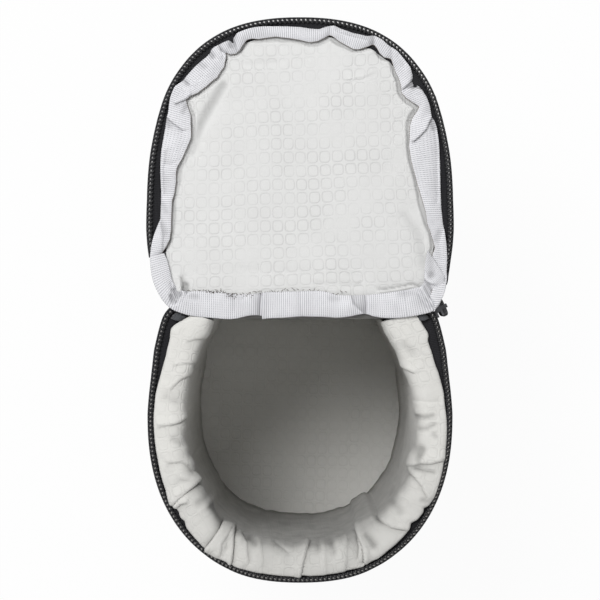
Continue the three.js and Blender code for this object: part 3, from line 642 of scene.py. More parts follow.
# Lining of the walls. Pale gray cloth, embossed with small rounded squares, is turned over the side
# padding as a soft roll. Its edge is caught along the zip tape, and it is puckered into short folds
# where it goes round the front.
lining_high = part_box("side_lining")[1]
floor_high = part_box("base_lining")[1]
tape_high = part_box("zip_tape_body")[1]
picture_middle = (299.5, 300.0)
pixel = 0.000361
lining_deep, lining_bright = (205, 204, 200), (230, 229, 225)
lining_thread = 0.0004
lining_cloth = 0.0006
roll_outer_picture = [
    (190.5, 316), (174.5, 326), (170.9, 329.5), (170, 339.5), (166.4, 354.6), (162.9, 367), (158.4, 384),
    (155.7, 395), (154.4, 408), (153.9, 421.6), (154.8, 440), (157.4, 457), (160.8, 474.4), (165.6, 490),
    (168, 499), (172.8, 507), (178.5, 511), (180.4, 517.5), (185.2, 521.3), (186.6, 528), (198.6, 542.4),
    (206.2, 551), (215.8, 557.7), (228.3, 562.5), (230.2, 565.4), (240.7, 568.7), (250.3, 571.1),
    (275, 575.3), (286, 576), (298, 577), (303, 575.4), (310, 576), (325, 574.6), (336.5, 573), (348, 570),
    (363, 563.8), (364.4, 566.2), (376.7, 558.7), (386.2, 551), (399.6, 539.5), (406.3, 532.8), (408.3, 529),
    (409.2, 523.3), (416.9, 519.4), (422.6, 511.8), (422.6, 507), (428.3, 505), (432.2, 499.3), (437, 487.8),
    (440.8, 473.5), (443.7, 457), (445.3, 440), (445.8, 429), (445.3, 417), (443.9, 406), (442.9, 394),
    (440.5, 384), (437.2, 373), (433.8, 364), (430, 351), (426.6, 341), (427.6, 334.7), (424.2, 329),
    (420.4, 323), (417, 315.5)]
roll_inner_picture = [
    (214, 316), (209, 331), (202, 341), (195.9, 357.3), (192.3, 367), (187.9, 378), (185.2, 393),
    (183.4, 411), (184.3, 421.6), (182.5, 435), (185.6, 449.3), (186.6, 457), (190.5, 463), (191, 472.5),
    (198.1, 482), (204.3, 493.6), (212, 504), (213.4, 509), (216.8, 521.3), (220.5, 526.8), (226.5, 527.5),
    (234, 532), (240.7, 534.3), (250.3, 537.6), (262.7, 540.5), (275, 543.3), (290, 547), (308, 545),
    (325, 543), (344, 538.6), (355.6, 532), (357.5, 526), (371, 517), (378.6, 520.4), (382.4, 514.6),
    (392, 503), (399.6, 491.7), (406.3, 483), (411, 474.4), (408.3, 467.8), (411, 457), (416.6, 446),
    (416.6, 430.4), (418.5, 421.7), (415.6, 413), (414.7, 400.7), (412.8, 391), (408.9, 379.6), (404, 370),
    (400, 358.6), (394, 346), (388, 336.6), (382, 324), (380, 316)]
roll_folds = [
    ([(172.5, 505), (180.4, 497), (188, 491), (194.8, 486), (199, 482)], 0.00075, 0.0007),
    ([(170, 463.5), (181.4, 463), (187, 466.5), (191, 474)], 0.0005, 0.001),
    ([(182, 480), (190, 482), (198, 484)], 0.00035, 0.0016),
    ([(176.5, 508), (180, 505), (184, 504)], 0.0006, 0.0008),
    ([(205.5, 548), (212, 539.5), (217, 533), (220.5, 527), (222.5, 520)], -0.00095, 0.0008),
    ([(220.5, 553), (221.6, 544), (226, 538), (229, 533)], 0.00045, 0.001),
    ([(230.6, 565), (232, 556), (233, 545), (233, 531), (231.6, 519)], 0.001, 0.0006),
    ([(248.3, 561), (247.4, 553), (246.4, 543), (241, 534)], 0.00045, 0.001),
    ([(262, 572), (263, 560), (261, 544)], 0.00022, 0.0013),
    ([(276, 545), (283, 550), (287, 553)], 0.0003, 0.0012),
    ([(300.5, 576), (303, 563), (306, 552), (309, 545)], 0.0007, 0.0006),
    ([(326, 573), (326, 560), (325, 546)], 0.0002, 0.0014),
    ([(346, 569), (347, 555), (347, 540)], 0.00025, 0.0013),
    ([(363.6, 563), (362.6, 552), (360.6, 544), (357.6, 536), (356, 528)], -0.00095, 0.0006),
    ([(358, 558), (358.5, 548), (356.5, 539)], -0.00055, 0.0006),
    ([(404.4, 531), (391, 528), (384, 524), (378.6, 520)], -0.0006, 0.0008),
    ([(426.4, 497), (421.7, 487), (416.9, 481), (412, 475), (408.5, 470)], -0.00055, 0.0005),
    ([(440, 462), (430, 464.5), (420.7, 464.5), (411, 467)], -0.0006, 0.0011),
    ([(161, 426.5), (170, 425.6), (178, 423.4), (185, 418.5)], 0.0005, 0.0008),
    ([(172, 388), (180.7, 379.6), (189.5, 375.5)], 0.0004, 0.001),
    ([(176, 365.5), (185, 364), (192.5, 363.6)], 0.0003, 0.0009),
    ([(189, 341.5), (196, 339.5), (203, 338.6)], 0.0003, 0.001),
    ([(411.8, 372.4), (403, 368), (398, 364)], -0.00045, 0.0007),
    ([(438.6, 402.6), (429, 402.2), (417, 401.5)], 0.00018, 0.0008)]
roll_dents = [
    ([(418, 417), (425, 418), (433, 416)], 0.0006, 0.0011),
    ([(420, 429.5), (427, 429), (434, 425.5)], 0.0005, 0.001), ([(434, 435), (436, 437)], 0.0004, 0.0011),
    ([(421, 451), (418.5, 461)], 0.0011, 0.0018), ([(415, 469.5), (425, 471.5), (434, 473)], 0.0005, 0.0009),
    ([(422, 500.5), (427.5, 502)], 0.0005, 0.001), ([(364, 537), (369, 541), (373, 546)], 0.0008, 0.0017),
    ([(212, 507), (219, 514)], 0.0008, 0.002), ([(205, 496), (198, 503)], 0.0004, 0.0016),
    ([(229, 540), (227, 549)], 0.0005, 0.0012), ([(249, 540), (255, 545)], 0.0005, 0.0013),
    ([(318, 546), (319, 552)], 0.0004, 0.0014), ([(331, 545), (334, 553)], 0.0004, 0.0015),
    ([(394, 505), (400, 512)], 0.0004, 0.0018), ([(173, 440), (180, 444)], 0.0004, 0.0015),
    ([(166, 398), (175, 402)], 0.0003, 0.0016), ([(404, 345), (412, 352)], 0.0004, 0.0018),
    ([(197, 362), (190, 372)], 0.0003, 0.0015)]
crest_height = hinge.z + 0.0002
hem_edge_height = tape_high.z + 0.0001
roll_shoulder_height = hinge.z - 0.0085
wall_foot_inset = half_width - floor_high.x + 0.0005
wall_inset = wall_foot_inset - 0.0009
roll_step, roll_columns, wall_columns = 0.00042, 44, 26
roll_cloth, least_roll_width, highest_fold = 0.0004, 0.003, 0.0008
wall_settle, foot_turn_reach, foot_rise = 0.0015, 0.0006, 0.0004
hem_ease, fold_ease, fold_reach, fold_fade = 0.002, 0.003, 0.016, 0.01
pucker_size, crinkle_size, billow_size = (0.0045, 0.02, 1), (0.0017, 0.0075, 1), 0.012
pucker_depth, front_pucker_depth, crinkle_depth, billow_depth = 0.00022, 0.00044, 0.0001, 0.00035
# Painted shade: how dark the grooves of folds are painted, and how much darker the roll is painted towards
# the front and over its inner slope.
crease_depth, painted_crease_shade = 0.0007, 0.36
front_painted_shade, inner_painted_shade, inner_shade_start, inner_shade_reach = 0.17, 0.42, 0.004, 0.008
embossed_across, embossed_along = 0.00448, 0.00491
emboss_slant = 0.035
emboss_squareness, emboss_reach, emboss_line = 3.2, 0.4, 0.085


def from_picture(pixels):
    """Places in the picture as (x, y) at the height of the rim."""
    pixels = np.asarray(pixels, float)
    return np.stack([(pixels[..., 0] - picture_middle[0]) * pixel,
                     hinge.y + (picture_middle[1] - pixels[..., 1]) * pixel], axis=-1)


def insets_of(places, path, inward):
    """How far places lie along a path and how far inside it, in order along the path."""
    lengths = lengths_along(path)
    nearest = np.linalg.norm(places[:, None] - path[None], axis=2).argmin(axis=1)
    insets = ((places - path[nearest]) * inward[nearest]).sum(axis=1)
    order = np.argsort(lengths[nearest], kind="stable")
    return lengths[nearest][order], insets[order]


def inset_along(path, inward, picture_line, reach):
    """The inset, at every point of a path, of a line drawn over the picture."""
    return soften(np.interp(lengths_along(path), *insets_of(from_picture(picture_line), path, inward)), reach)


def beside_line(flat, spots):
    """How far each point is from a line drawn over the picture, and how far to the left of it."""
    line = from_picture(spots)
    nearest = np.full(flat.shape[:-1], np.inf)
    beside = np.zeros(flat.shape[:-1])
    for start, end in zip(line[:-1], line[1:]):
        ahead = end - start
        offset = flat - start
        along = np.clip((offset @ ahead) / (ahead @ ahead), 0, 1)
        away = np.linalg.norm(offset - along[..., None] * ahead, axis=-1)
        left = (ahead[0] * offset[..., 1] - ahead[1] * offset[..., 0]) / np.linalg.norm(ahead)
        beside = np.where(away < nearest, left, beside)
        nearest = np.minimum(away, nearest)
    return nearest, beside


def folded(points, folds):
    """How far folds lift cloth at each point. A fold is a line over the picture, its depth and its
    width: a ridge on the left of the line as it runs, or on its right if the depth is negative, with
    a sharp groove beside it."""
    flat = np.asarray(points, float)[..., :2]
    lift = np.zeros(flat.shape[:-1])
    for spots, depth, width in folds:
        nearest, beside = beside_line(flat, spots)
        across = beside / width * math.copysign(1, depth)
        ridge = np.maximum(across, 0) / 1.1 * np.exp(1 - np.maximum(across, 0) / 1.1)
        groove = np.exp(np.minimum(across, 0) / 1.5) * np.clip(1 - across / 0.5, 0, 1)
        past_end = np.maximum(0, nearest - np.abs(beside)) / width
        lift += abs(depth) * (ridge - groove) * np.exp(-past_end ** 2)
    return lift


def dented(points, dents):
    """How far soft hollows lower cloth at each point, each a line over the picture, depth and width."""
    flat = np.asarray(points, float)[..., :2]
    drop = np.zeros(flat.shape[:-1])
    for spots, depth, width in dents:
        drop += depth * np.exp(-(beside_line(flat, spots)[0] / width) ** 2)
    return drop


def laid_askew(across, along, points, seed):
    """Places on a cloth whose pattern lies a little slanted and pulled about."""
    wander = 0.0006 * uneven(points, 0.02, seed)
    return across + emboss_slant * along + wander, along - emboss_slant * across + wander


def fed_by(material, socket):
    """The output that feeds a socket of a finish's shader."""
    return material.node_tree.nodes["Principled BSDF"].inputs[socket].links[0].from_socket


def finish_lining(name, deep, bright, sunk_line_painted_shade):
    """Pale cloth embossed with rows of small rounded squares, whose outlines are sunk and painted
    faintly darker as painted shade in the sunk lines, more so in some places than in others."""
    material = finish_cloth(name, deep, bright, (lining_thread, lining_thread), relief=0.00004,
                            sheen=0.1, patch=0.02, unevenness=0.018)
    place = add_node(material, "UVMap").outputs[0]
    for operation, *by in (("MULTIPLY", (1 / embossed_along, 1 / embossed_across, 0)), ("FRACTION",),
                           ("SUBTRACT", (0.5, 0.5, 0)), ("ABSOLUTE",)):
        place = reckon(material, operation, place, *by, kind="VectorMath")
    sides = add_node(material, "SeparateXYZ", {0: place}).outputs
    powers = [reckon(material, "POWER", sides[axis], emboss_squareness) for axis in (0, 1)]
    reach = reckon(material, "POWER", reckon(material, "ADD", *powers), 1 / emboss_squareness)
    from_line = reckon(material, "ABSOLUTE", reckon(material, "SUBTRACT", reach, emboss_reach))
    line = mapped(material, from_line, 1.0, 0.0, 0.0, emboss_line, interpolation_type="SMOOTHSTEP")
    sunk = reckon(material, "MULTIPLY", line, mottle(material, 0.012, 0.05, 1.25))
    darker = mapped(material, sunk, 1.0, 1 - sunk_line_painted_shade)
    relief = add_node(material, "Bump", {"Height": sunk, "Strength": 0.55, "Distance": 0.0002,
                                         "Normal": fed_by(material, "Normal")}, invert=True)
    return set_shader(material, {"Base Color": scaled(material, fed_by(material, "Base Color"), darker),
                                 "Normal": relief.outputs[0]})


def sheet_normals(rows):
    """The upward direction at each point of a sheet of rows."""
    normal = np.cross(np.gradient(rows, axis=0), np.gradient(rows, axis=1))
    normal = normal / np.maximum(np.linalg.norm(normal, axis=2), 1e-12)[:, :, None]
    crest = normal[len(rows) // 2, rows.shape[1] // 4, 2]
    return normal if crest > 0 else -normal


square_corner = 0.0001
roll_path = on_pouch(rim_line(0, 0, square_corner)[corner_steps:-corner_steps], 0.0)[:, :2]
roll_path = resample(roll_path, roll_step)


def world_inward(path, reach):
    """The direction, at each point of a line of (x, y) that runs right to left round the front, that
    points inside it."""
    side = inward_of(path)
    middle = side[len(side) // 2] @ (path.mean(axis=0) - path[len(path) // 2])
    return soften(side if middle > 0 else -side, reach)


roll_inward = world_inward(roll_path, 12)
outer_inset = inset_along(roll_path, roll_inward, roll_outer_picture, 2)
inner_inset = inset_along(roll_path, roll_inward, roll_inner_picture, 4)
inner_inset = np.maximum(inner_inset, outer_inset + least_roll_width)
kept = hinge.y - roll_path[:, 1] > hinge.y - lining_high.y
over_share = np.linspace(0, math.pi, roll_columns)
roll_middle = (outer_inset + inner_inset)[:, None] / 2
roll_reach = (inner_inset - outer_inset)[:, None] / 2
roll_insets = roll_middle - roll_reach * np.cos(over_share)[None]
roll_heights = np.where(
    over_share < math.pi / 2,
    hem_edge_height + (crest_height - hem_edge_height) * np.sin(over_share) ** 0.45,
    roll_shoulder_height + (crest_height - roll_shoulder_height) * np.sin(over_share) ** 0.5)
down_share = np.linspace(0, 1, wall_columns + 1)[1:] ** 1.5
wall_settled = np.maximum(wall_inset, inner_inset - wall_settle)[:, None]
foot_turn = wall_foot_inset + foot_turn_reach - wall_settled
foot_turn = foot_turn * np.clip((down_share - 0.93) / 0.07, 0, 1)[None]
wall_start = inner_inset[:, None]
wall_insets = (wall_start + (wall_settled - wall_start) * np.minimum(1, down_share * 5)[None]
               + np.maximum(foot_turn, 0))
wall_levels = roll_shoulder_height + (floor_high.z + foot_rise - roll_shoulder_height) * down_share
insets = np.concatenate([roll_insets, wall_insets], axis=1)
levels = np.broadcast_to(np.concatenate([roll_heights, wall_levels]), insets.shape)
flat = roll_path[:, None] + roll_inward[:, None] * insets[:, :, None]
lining_rows = np.concatenate([flat, levels[..., None]], axis=-1)[kept]
lining_normals = sheet_normals(lining_rows)
across_cloth = np.concatenate([np.zeros((len(lining_rows), 1)), np.cumsum(
    np.linalg.norm(np.diff(lining_rows, axis=1), axis=2), axis=1)], axis=1)
along_cloth = np.broadcast_to(lengths_along(roll_path)[kept][:, None], across_cloth.shape)
cloth_place = np.stack([along_cloth, across_cloth, np.zeros_like(along_cloth)], axis=-1)
from_hem = np.minimum(1, across_cloth / hem_ease)
down_wall = np.exp(-np.maximum(across_cloth - fold_reach, 0) / fold_fade)
lift = folded(lining_rows, roll_folds) - dented(lining_rows, roll_dents)
lift *= down_wall * np.minimum(1, 0.35 + across_cloth / fold_ease)
# Painted shade on the roll: darker in the grooves of its folds and in its dents, darker towards the front,
# and darker and blotchy over its inner slope, where shade falls into the pouch.
roll_painted_shade = np.clip(-lift / crease_depth, 0, 1) * painted_crease_shade
front = np.clip((hinge.y - lining_rows[..., 1] - widest_depth) / (rim_length - widest_depth), 0, 1)
roll_painted_shade += front_painted_shade * front ** 1.5
over_roll = np.clip((across_cloth - inner_shade_start) / inner_shade_reach, 0, 1)
roll_painted_shade += inner_painted_shade * np.sqrt(front) * over_roll ** 2 * (1 + 0.35 * uneven(cloth_place, 0.006, 91))
for depth, size, seed in ((pucker_depth + front_pucker_depth * front, pucker_size, 4),
                          (crinkle_depth, crinkle_size, 9), (billow_depth, billow_size, 14)):
    lift += depth * uneven(cloth_place / size, 1.0, seed) * from_hem
lining_rows = lining_rows + lining_normals * lift[:, :, None]
lining_rows[..., 2] = np.minimum(lining_rows[..., 2], crest_height + highest_fold)
wall_lining = finish_lining("brushed_lining", lining_deep, lining_bright, 0.05)
pattern_across, pattern_along = laid_askew(across_cloth, along_cloth, cloth_place, 71)
roll_lining = loft("side_roll_lining", lining_rows, wall_lining, thickness=roll_cloth,
                   along=pattern_along, across=pattern_across, shade=roll_painted_shade)
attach(roll_lining, "pouch")
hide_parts("side_lining")

# Lining of the back wall and the floor, cut from the same cloth. The back one is turned over its
# padding under the hem, and the floor one lies on the base padding with its edges tucked under.
back_lining_low, back_lining_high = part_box("back_lining")
roll_corner, roll_corner_steps = 0.0016, 8
back_columns_lining, back_step = 150, 0.0011
under_hem_painted_shadow, under_hem_reach = 0.75, 0.02
end_margin = 0.0002
back_turned, back_bulge_depth, back_bulge_size = 0.001, 0.0006, 0.016
back_face = back_lining_low.y + 0.0009
back_profile = [(back_lining_high.y + back_turned, lining_high.z - lining_cloth),
                (back_lining_high.y + back_turned, lining_high.z)]
for turn in np.linspace(0, math.pi / 2, roll_corner_steps):
    back_profile.append((back_face + roll_corner * (1 - math.sin(turn)),
                         lining_high.z - roll_corner * (1 - math.cos(turn))))
back_profile.append((back_face, floor_high.z))
back_profile = resample(np.array(back_profile), back_step)
back_xs = np.linspace(back_lining_high.x, back_lining_low.x, back_columns_lining)


def swept(profile, xs):
    """Rows of one (y, z) profile carried along X."""
    return np.stack([np.column_stack([np.full(len(profile), x), profile]) for x in xs])


back_sheet = swept(back_profile, back_xs)
back_bulge = back_bulge_depth * np.abs(uneven(back_sheet, back_bulge_size, 6))
back_sheet[..., 1] -= back_bulge * (back_sheet[..., 2] < lining_high.z - roll_corner)
# Painted shadow: the back lining is painted darker towards its top, under the hem.
back_painted_shadow = under_hem_painted_shadow * np.clip(1 - (lining_high.z - back_sheet[..., 2]) / under_hem_reach, 0, 1)
back_inner_cloth = loft("back_inner_cloth", back_sheet, wall_lining, thickness=lining_cloth,
                        shade=back_painted_shadow)
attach(back_inner_cloth, "pouch")
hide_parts("back_lining")


def reach_at(depth, inset):
    """Half the width inside a line moved in from the rim, at a depth."""
    past = np.clip((depth - widest_depth) / (rim_length - widest_depth - inset), 0, 1)
    front_half = (half_width - inset) * (1 - past ** front_squareness) ** (1 / front_squareness)
    return np.where(depth < widest_depth, half_width_at(depth) - inset, front_half)


def cloth_grid(side, back, columns, rows):
    """A sheet of (x, depth) points that fills a line round the rim from the back to the front."""
    depths = np.linspace(back, rim_length - side - end_margin, rows)
    x = reach_at(depths, side)[:, None] * np.linspace(1, -1, columns)[None]
    return np.stack([x, np.broadcast_to(depths[:, None], x.shape)], axis=-1)


def waves(points, kinds):
    """Unevenness of several kinds, each given as its depth, its size and its seed."""
    return sum(depth * uneven(points, size, seed) for depth, size, seed in kinds)


floor_waves = ((0.0008, 0.019, 81), (0.0002, 0.006, 83))
floor_dip, floor_rise = -0.0007, 0.0009
floor_side, floor_back = half_width - floor_high.x, hinge.y - floor_high.y
floor_flat = cloth_grid(floor_side, floor_back, 150, 140)
floor_sheet = on_pouch(floor_flat, floor_high.z)
floor_sheet[..., 2] += np.clip(waves(floor_sheet, floor_waves), floor_dip, floor_rise)
pattern_across, pattern_along = laid_askew(floor_flat[..., 0], floor_flat[..., 1], floor_sheet, 85)
floor_cloth = loft("floor_lining", floor_sheet, wall_lining, thickness=lining_cloth,
                   along=pattern_along, across=pattern_across)
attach(floor_cloth, "pouch")
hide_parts("base_lining")

# Zip halves. Each half is a black woven tape with a nylon coil sewn on along its edge: one
# monofilament wound round a filler cord, and held by a row of pale stitches, one to each turn.
coil_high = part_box("zip_coil_body")[1]
lid_coil_low, lid_coil_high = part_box("zip_coil_lid")
coil_pitch, filament_radius, filler_radius, filler_step = 0.00156, 0.00036, 0.00055, 0.001
coil_outer_inset, coil_inner_inset = 0.00035, 0.00245
coil_turn_steps = 14
coil_sew_inset = 0.00115
coil_sew_length, coil_sew_radius, coil_sew_slant = 0.00078, 0.00023, 0.45
# Painted glint: where along the lid the coil's stitches are painted brighter.
painted_glint_way, painted_glint_low, painted_glint_high = (0.35, 1, 0), 0.125, 0.143
tape_edge_inset, tape_inner_inset, lid_tape_inner_inset = 0.0, 0.0084, 0.0066
tape_cloth, tape_step, tape_columns = 0.00045, 0.0009, 21
tape_sag, tape_sag_size, tape_sag_reach, tape_edge_round = 0.0003, 0.007, 0.003, 0.0002
tape_black, tape_bright = (9, 9, 10), (44, 44, 48)
tape_thread = (0.00062, 0.0005)
coil_shade = (11, 11, 13)


def finish_nylon(name, shade, roughness):
    """Semi-gloss moulded nylon, with faint drawn streaks."""
    material = new_finish(name)
    grain = texture(material, "Noise", 2500.0)
    return set_shader(material, {
        "Base Color": scaled(material, colour(shade)[:3], mottle(material, 0.002, 0.75, 1.3)),
        "Normal": raised(material, grain, 0.00003, 0.25), "Roughness": roughness})


def zip_line(side, first, last):
    """A line of the zip: its corners keep one place, and it leaves out a few steps at either end."""
    radius = max(corner_radius - side, least_corner_radius)
    line = rim_line(side, wall_back + corner_radius - radius)
    return line[first:len(line) - last]


zip_cloth = finish_cloth("black_tape", tape_black, tape_bright, tape_thread, relief=0.00016, unevenness=0.25)
coil_nylon = finish_nylon("coil_nylon", coil_shade, 0.45)
coil_half_width = (coil_inner_inset - coil_outer_inset) / 2


def finish_zip_thread_with_painted_glint(name, shade):
    """The thread along a coil, painted brighter towards the lid's far end and its right side as a painted
    glint, and darker towards the hinge, the left and over the pouch.
    """
    material = finish_thread(name, shade)
    place = add_node(material, "TexCoord").outputs["Object"]
    reach = add_node(material, "VectorMath", {0: place, 1: painted_glint_way}, operation="DOT_PRODUCT")
    kept = mapped(material, reach.outputs["Value"], 0.4, 1.0, painted_glint_low, painted_glint_high)
    return set_shader(material, {"Base Color": scaled(material, fed_by(material, "Base Color"), kept)})


def zip_half(label, body, ends, tape_inset, nodes, coil_height, thread_shade, place):
    """One half of the zip. Place puts (x, depth) points at a height over the tape's underside."""
    sew_thread = finish_zip_thread_with_painted_glint(f"{label}_zip_thread", thread_shade)
    centre = zip_line((coil_inner_inset + coil_outer_inset) / 2, *ends)
    line = resample(centre, coil_pitch / coil_turn_steps)
    inward = soften(inward_of(line), 20)
    turns = lengths_along(line) * 2 * math.pi / coil_pitch
    coil_middle = tape_cloth + (coil_height - tape_cloth) / 2
    tall = (coil_height - tape_cloth) / 2 - filament_radius
    around = line + inward * ((coil_half_width - filament_radius) * np.cos(turns))[:, None]
    hub = place(line, coil_middle)
    filament = place(around, coil_middle + tall * np.sin(turns))
    coil = loft(f"{label}_zip_coil", tube_rows(filament, filament_radius, 6, sideways=filament - hub),
                coil_nylon, tube=True)
    cord = place(resample(centre, filler_step), coil_middle)
    core = loft(f"{label}_zip_filler", tube_rows(cord, filler_radius, 8), zip_cloth, tube=True)
    half = (tape_inset - tape_edge_inset) / 2
    tape_line = resample(zip_line(tape_edge_inset + half, *ends), tape_step)
    tape_inward = soften(inward_of(tape_line), 3)
    spread = np.linspace(-half, half, tape_columns)
    flat_top = tape_line[:, None] + tape_inward[:, None] * spread[None, :, None]
    loose = np.clip((spread + half - coil_inner_inset) / tape_sag_reach, 0, 1)[None]
    sag = tape_sag * uneven(place(flat_top, 0.0), tape_sag_size, 12) * loose
    drop = tape_edge_round * (np.abs(spread) > half - tape_edge_round)[None]
    top = place(flat_top, tape_cloth - drop + sag)
    under = place(flat_top[:, ::-1], sag[:, ::-1])
    tape = loft(f"{label}_zip_tape", np.concatenate([top, under], axis=1), zip_cloth, tube=True)
    sewn_line = resample(zip_line(coil_sew_inset, *ends), coil_pitch)
    places = place(sewn_line, coil_height - coil_sew_radius * 0.5)
    upward = place(sewn_line, 1.0) - place(sewn_line, 0.0)
    ahead = np.gradient(places, axis=0)
    ahead = ahead + coil_sew_slant * np.cross(ahead, upward)
    sewing = stitches(f"{label}_zip_sewing", places, ahead, upward, sew_thread,
                      coil_sew_length, coil_sew_radius)
    for piece, slot in ((coil, "zip_coil"), (core, "zip_tape"), (tape, "zip_tape"), (sewing, "zip_tape")):
        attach(piece, body)
    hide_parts(nodes[0])
    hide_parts(nodes[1])


tape_seat = side_high.z + 0.0001
zip_half("pouch", "pouch", (6, 6), tape_inner_inset, ("zip_coil_body", "zip_tape_body"),
         coil_high.z - tape_seat, (205, 202, 198), lambda flat, off: on_pouch(flat, tape_seat + off))
lid_tape_rise = hinge.z - lid_coil_low.z + 0.0001
zip_half("lid", "lid", (corner_steps - 4, corner_steps + 8), lid_tape_inner_inset,
         ("zip_coil_lid", "zip_tape_lid"), lid_coil_high.z - lid_coil_low.z, (215, 214, 213),
         lambda flat, off: on_lid(flat, lid_tape_rise - off))

# End tabs. A folded strip of dark gray cloth is sewn over each end of the pouch's zip tape, and
# follows it round the corner beside the hinge.
end_low, end_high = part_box("zip_end_right")
end_inner, end_outer = 0.0075, 0.0028
end_bevel, end_bevel_drop, end_crown = 0.0012, 0.0002, 0.0003
end_step, end_columns, end_wave, end_wave_size = 0.00035, 30, 0.0002, 0.003
end_cloth = finish_cloth("gray_end_cloth", (46, 47, 49), (92, 94, 97), (0.0005, 0.0005))
end_first, end_last = 4, corner_steps - 3
for side_name, turned_over in (("right", False), ("left", True)):
    strips = []
    for side, height in ((end_outer, end_low.z), (end_outer + end_bevel, end_high.z - end_bevel_drop),
                         ((end_outer + end_inner) / 2, end_high.z + end_crown), (end_inner, end_high.z),
                         (end_inner, end_low.z)):
        line = resample(zip_line(side, 0, 0)[end_first:end_last], end_step)
        line = resample(line, lengths_along(line)[-1] / end_columns)
        if turned_over:
            line = line * (-1, 1)
        strips.append(on_pouch(line, height))
    tab_rows = np.stack(strips, axis=1)
    tab_rows[..., 2] += end_wave * uneven(tab_rows, end_wave_size, 15)
    end_piece = loft(f"zip_end_cloth_{side_name}", tab_rows, end_cloth, tube=True)
    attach(end_piece, "pouch")
    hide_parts(f"zip_end_{side_name}")

# Hinge. A strip of the outer cloth is sewn down the top of the back and down the lid's band, with
# its fold along the axis. Its two legs lie side by side when the lid is open.
hinge_reach, hinge_columns, hinge_cloth, hinge_half_gap = 0.0435, 160, 0.00035, 0.0002
hinge_leg, hinge_crest, hinge_turn, hinge_step = 0.0034, -0.0001, 0.0008, 0.0003
hinge_wave, hinge_wave_size = 0.00015, 0.007
hinge_profile = [(-hinge_half_gap, -hinge_leg), (-hinge_half_gap, -hinge_turn), (0, hinge_crest),
                 (hinge_half_gap, -hinge_turn), (hinge_half_gap, -hinge_leg)]
hinge_profile = resample(np.array(hinge_profile), hinge_step) + (hinge.y, hinge.z)
hinge_xs = np.linspace(hinge_reach, -hinge_reach, hinge_columns)
hinge_rows = swept(hinge_profile, hinge_xs)
hinge_rows[..., 2] += hinge_wave * uneven(hinge_rows, hinge_wave_size, 2)
hinge_fold = loft("hinge_fold", hinge_rows, outer_cloth, thickness=hinge_cloth)
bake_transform(hinge_fold)
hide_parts("hinge_strip")

# Lid cloth. The lid is a shallow dome of charcoal nylon: a side band that turns over a stitched
# shoulder into a crowned top. Open, it lies upside down behind the pouch, and its band swells out
# past the zip on one side.
lid_low, lid_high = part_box("lid_panel")
lid_rim_rise = hinge.z - lid_high.z
lid_top_rise = hinge.z - lid_low.z
lid_shoulder = 0.011
lid_inset_shares = (0, 0, 0, 0.03, 0.12, 0.24, 0.4, 0.66, 1)
lid_rise_shares = (0, 0.25, 0.5, 0.66, 0.78, 0.87, 0.94, 0.985, 1)
lid_crown, lid_seam_sink = 0.0012, 0.25
lid_dip, lid_dip_size, lid_dip_reach = 0.0004, 0.02, 0.002
swell_place, swell_reach = from_picture([(431, 99)])[0], 0.013
swell_push = np.array([0.0014, 0.0010])


def lid_line(side):
    """A line of the lid's cloth, which keeps as far from the hinge as from the sides."""
    return rim_line(side, side - panel_inset + wall_back)


def dome_rows(thickness, crown):
    """The lid's face from its rim over the shoulder to the middle of its top."""
    rows = []
    for inset_share, rise_share in zip(lid_inset_shares, lid_rise_shares):
        inset = panel_inset + thickness + (lid_shoulder - thickness) * inset_share
        rise = lid_rim_rise + (lid_top_rise - lid_rim_rise - thickness) * rise_share
        row = on_lid(lid_line(inset), rise)
        away = np.linalg.norm(row[:, :2] - swell_place, axis=1) / swell_reach
        push = np.exp(-away ** 2) * (rise_share > 0) * (1 - inset_share) ** 2
        row[:, :2] += push[:, None] * swell_push
        rows.append(row)
    top = filled_face(lid_line(panel_inset + lid_shoulder), lambda flat, share: on_lid(
        flat, lid_top_rise - thickness + crown * (1 - share ** 2)))
    return rows + top[1:]


outside_rows = np.stack(dome_rows(0.0, lid_crown), axis=1)
outside_rows[..., 2] -= lid_dip * uneven(outside_rows, lid_dip_size, 21) * (
    outside_rows[..., 2] < hinge.z - lid_top_rise + lid_dip_reach)
inside_rows = np.stack(dome_rows(panel_cloth, lid_crown), axis=1)[:, ::-1]
lid_cloth = loft("lid_cloth", np.concatenate([inside_rows, outside_rows], axis=1), outer_cloth, ring=True)
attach(lid_cloth, "lid")
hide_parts("lid_panel")
for seam_name, share, facing_down in (("lid_shoulder_stitching", 6, 1.0), ("lid_rim_stitching", 1, 0.0)):
    line = np.concatenate([outside_rows[:, share], outside_rows[:1, share]])
    sideways = -inward_of(line[:, :2]) * (1 - facing_down)
    outward = np.column_stack([sideways, np.full(len(line), -facing_down)])
    lid_seam = seam(seam_name, line - outward * stitch_radius * lid_seam_sink, outward, dark_thread)
    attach(lid_seam, "lid")

# Lid padding. A sheet of the same foam, cut to the lid's outline, fills the dome behind the lining
# and narrows towards the lid's top.
lid_foam_low, lid_foam_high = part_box("lid_foam")
pad_side = half_width - lid_foam_high.x
pad_rise, pad_end_rise = hinge.z - lid_foam_high.z, hinge.z - lid_foam_low.z
pad_edge_shares = ((0, 0.06), (0, 0.45), (0.1, 0.74), (0.36, 0.92))
pad_rows = filled_face(lid_line(pad_side + pad_round), lambda flat, share: on_lid(flat, pad_rise))[::-1]
for inset_share, rise_share in pad_edge_shares:
    pad_rows.append(on_lid(lid_line(pad_side + lid_shoulder * inset_share),
                           pad_rise + (pad_end_rise - pad_rise) * rise_share))
pad_rows += filled_face(lid_line(pad_side + lid_shoulder), lambda flat, share: on_lid(flat, pad_end_rise))
lid_padding = loft("lid_padding", np.stack(pad_rows, axis=1), foam_finish, ring=True)
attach(lid_padding, "lid")
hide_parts("lid_foam")

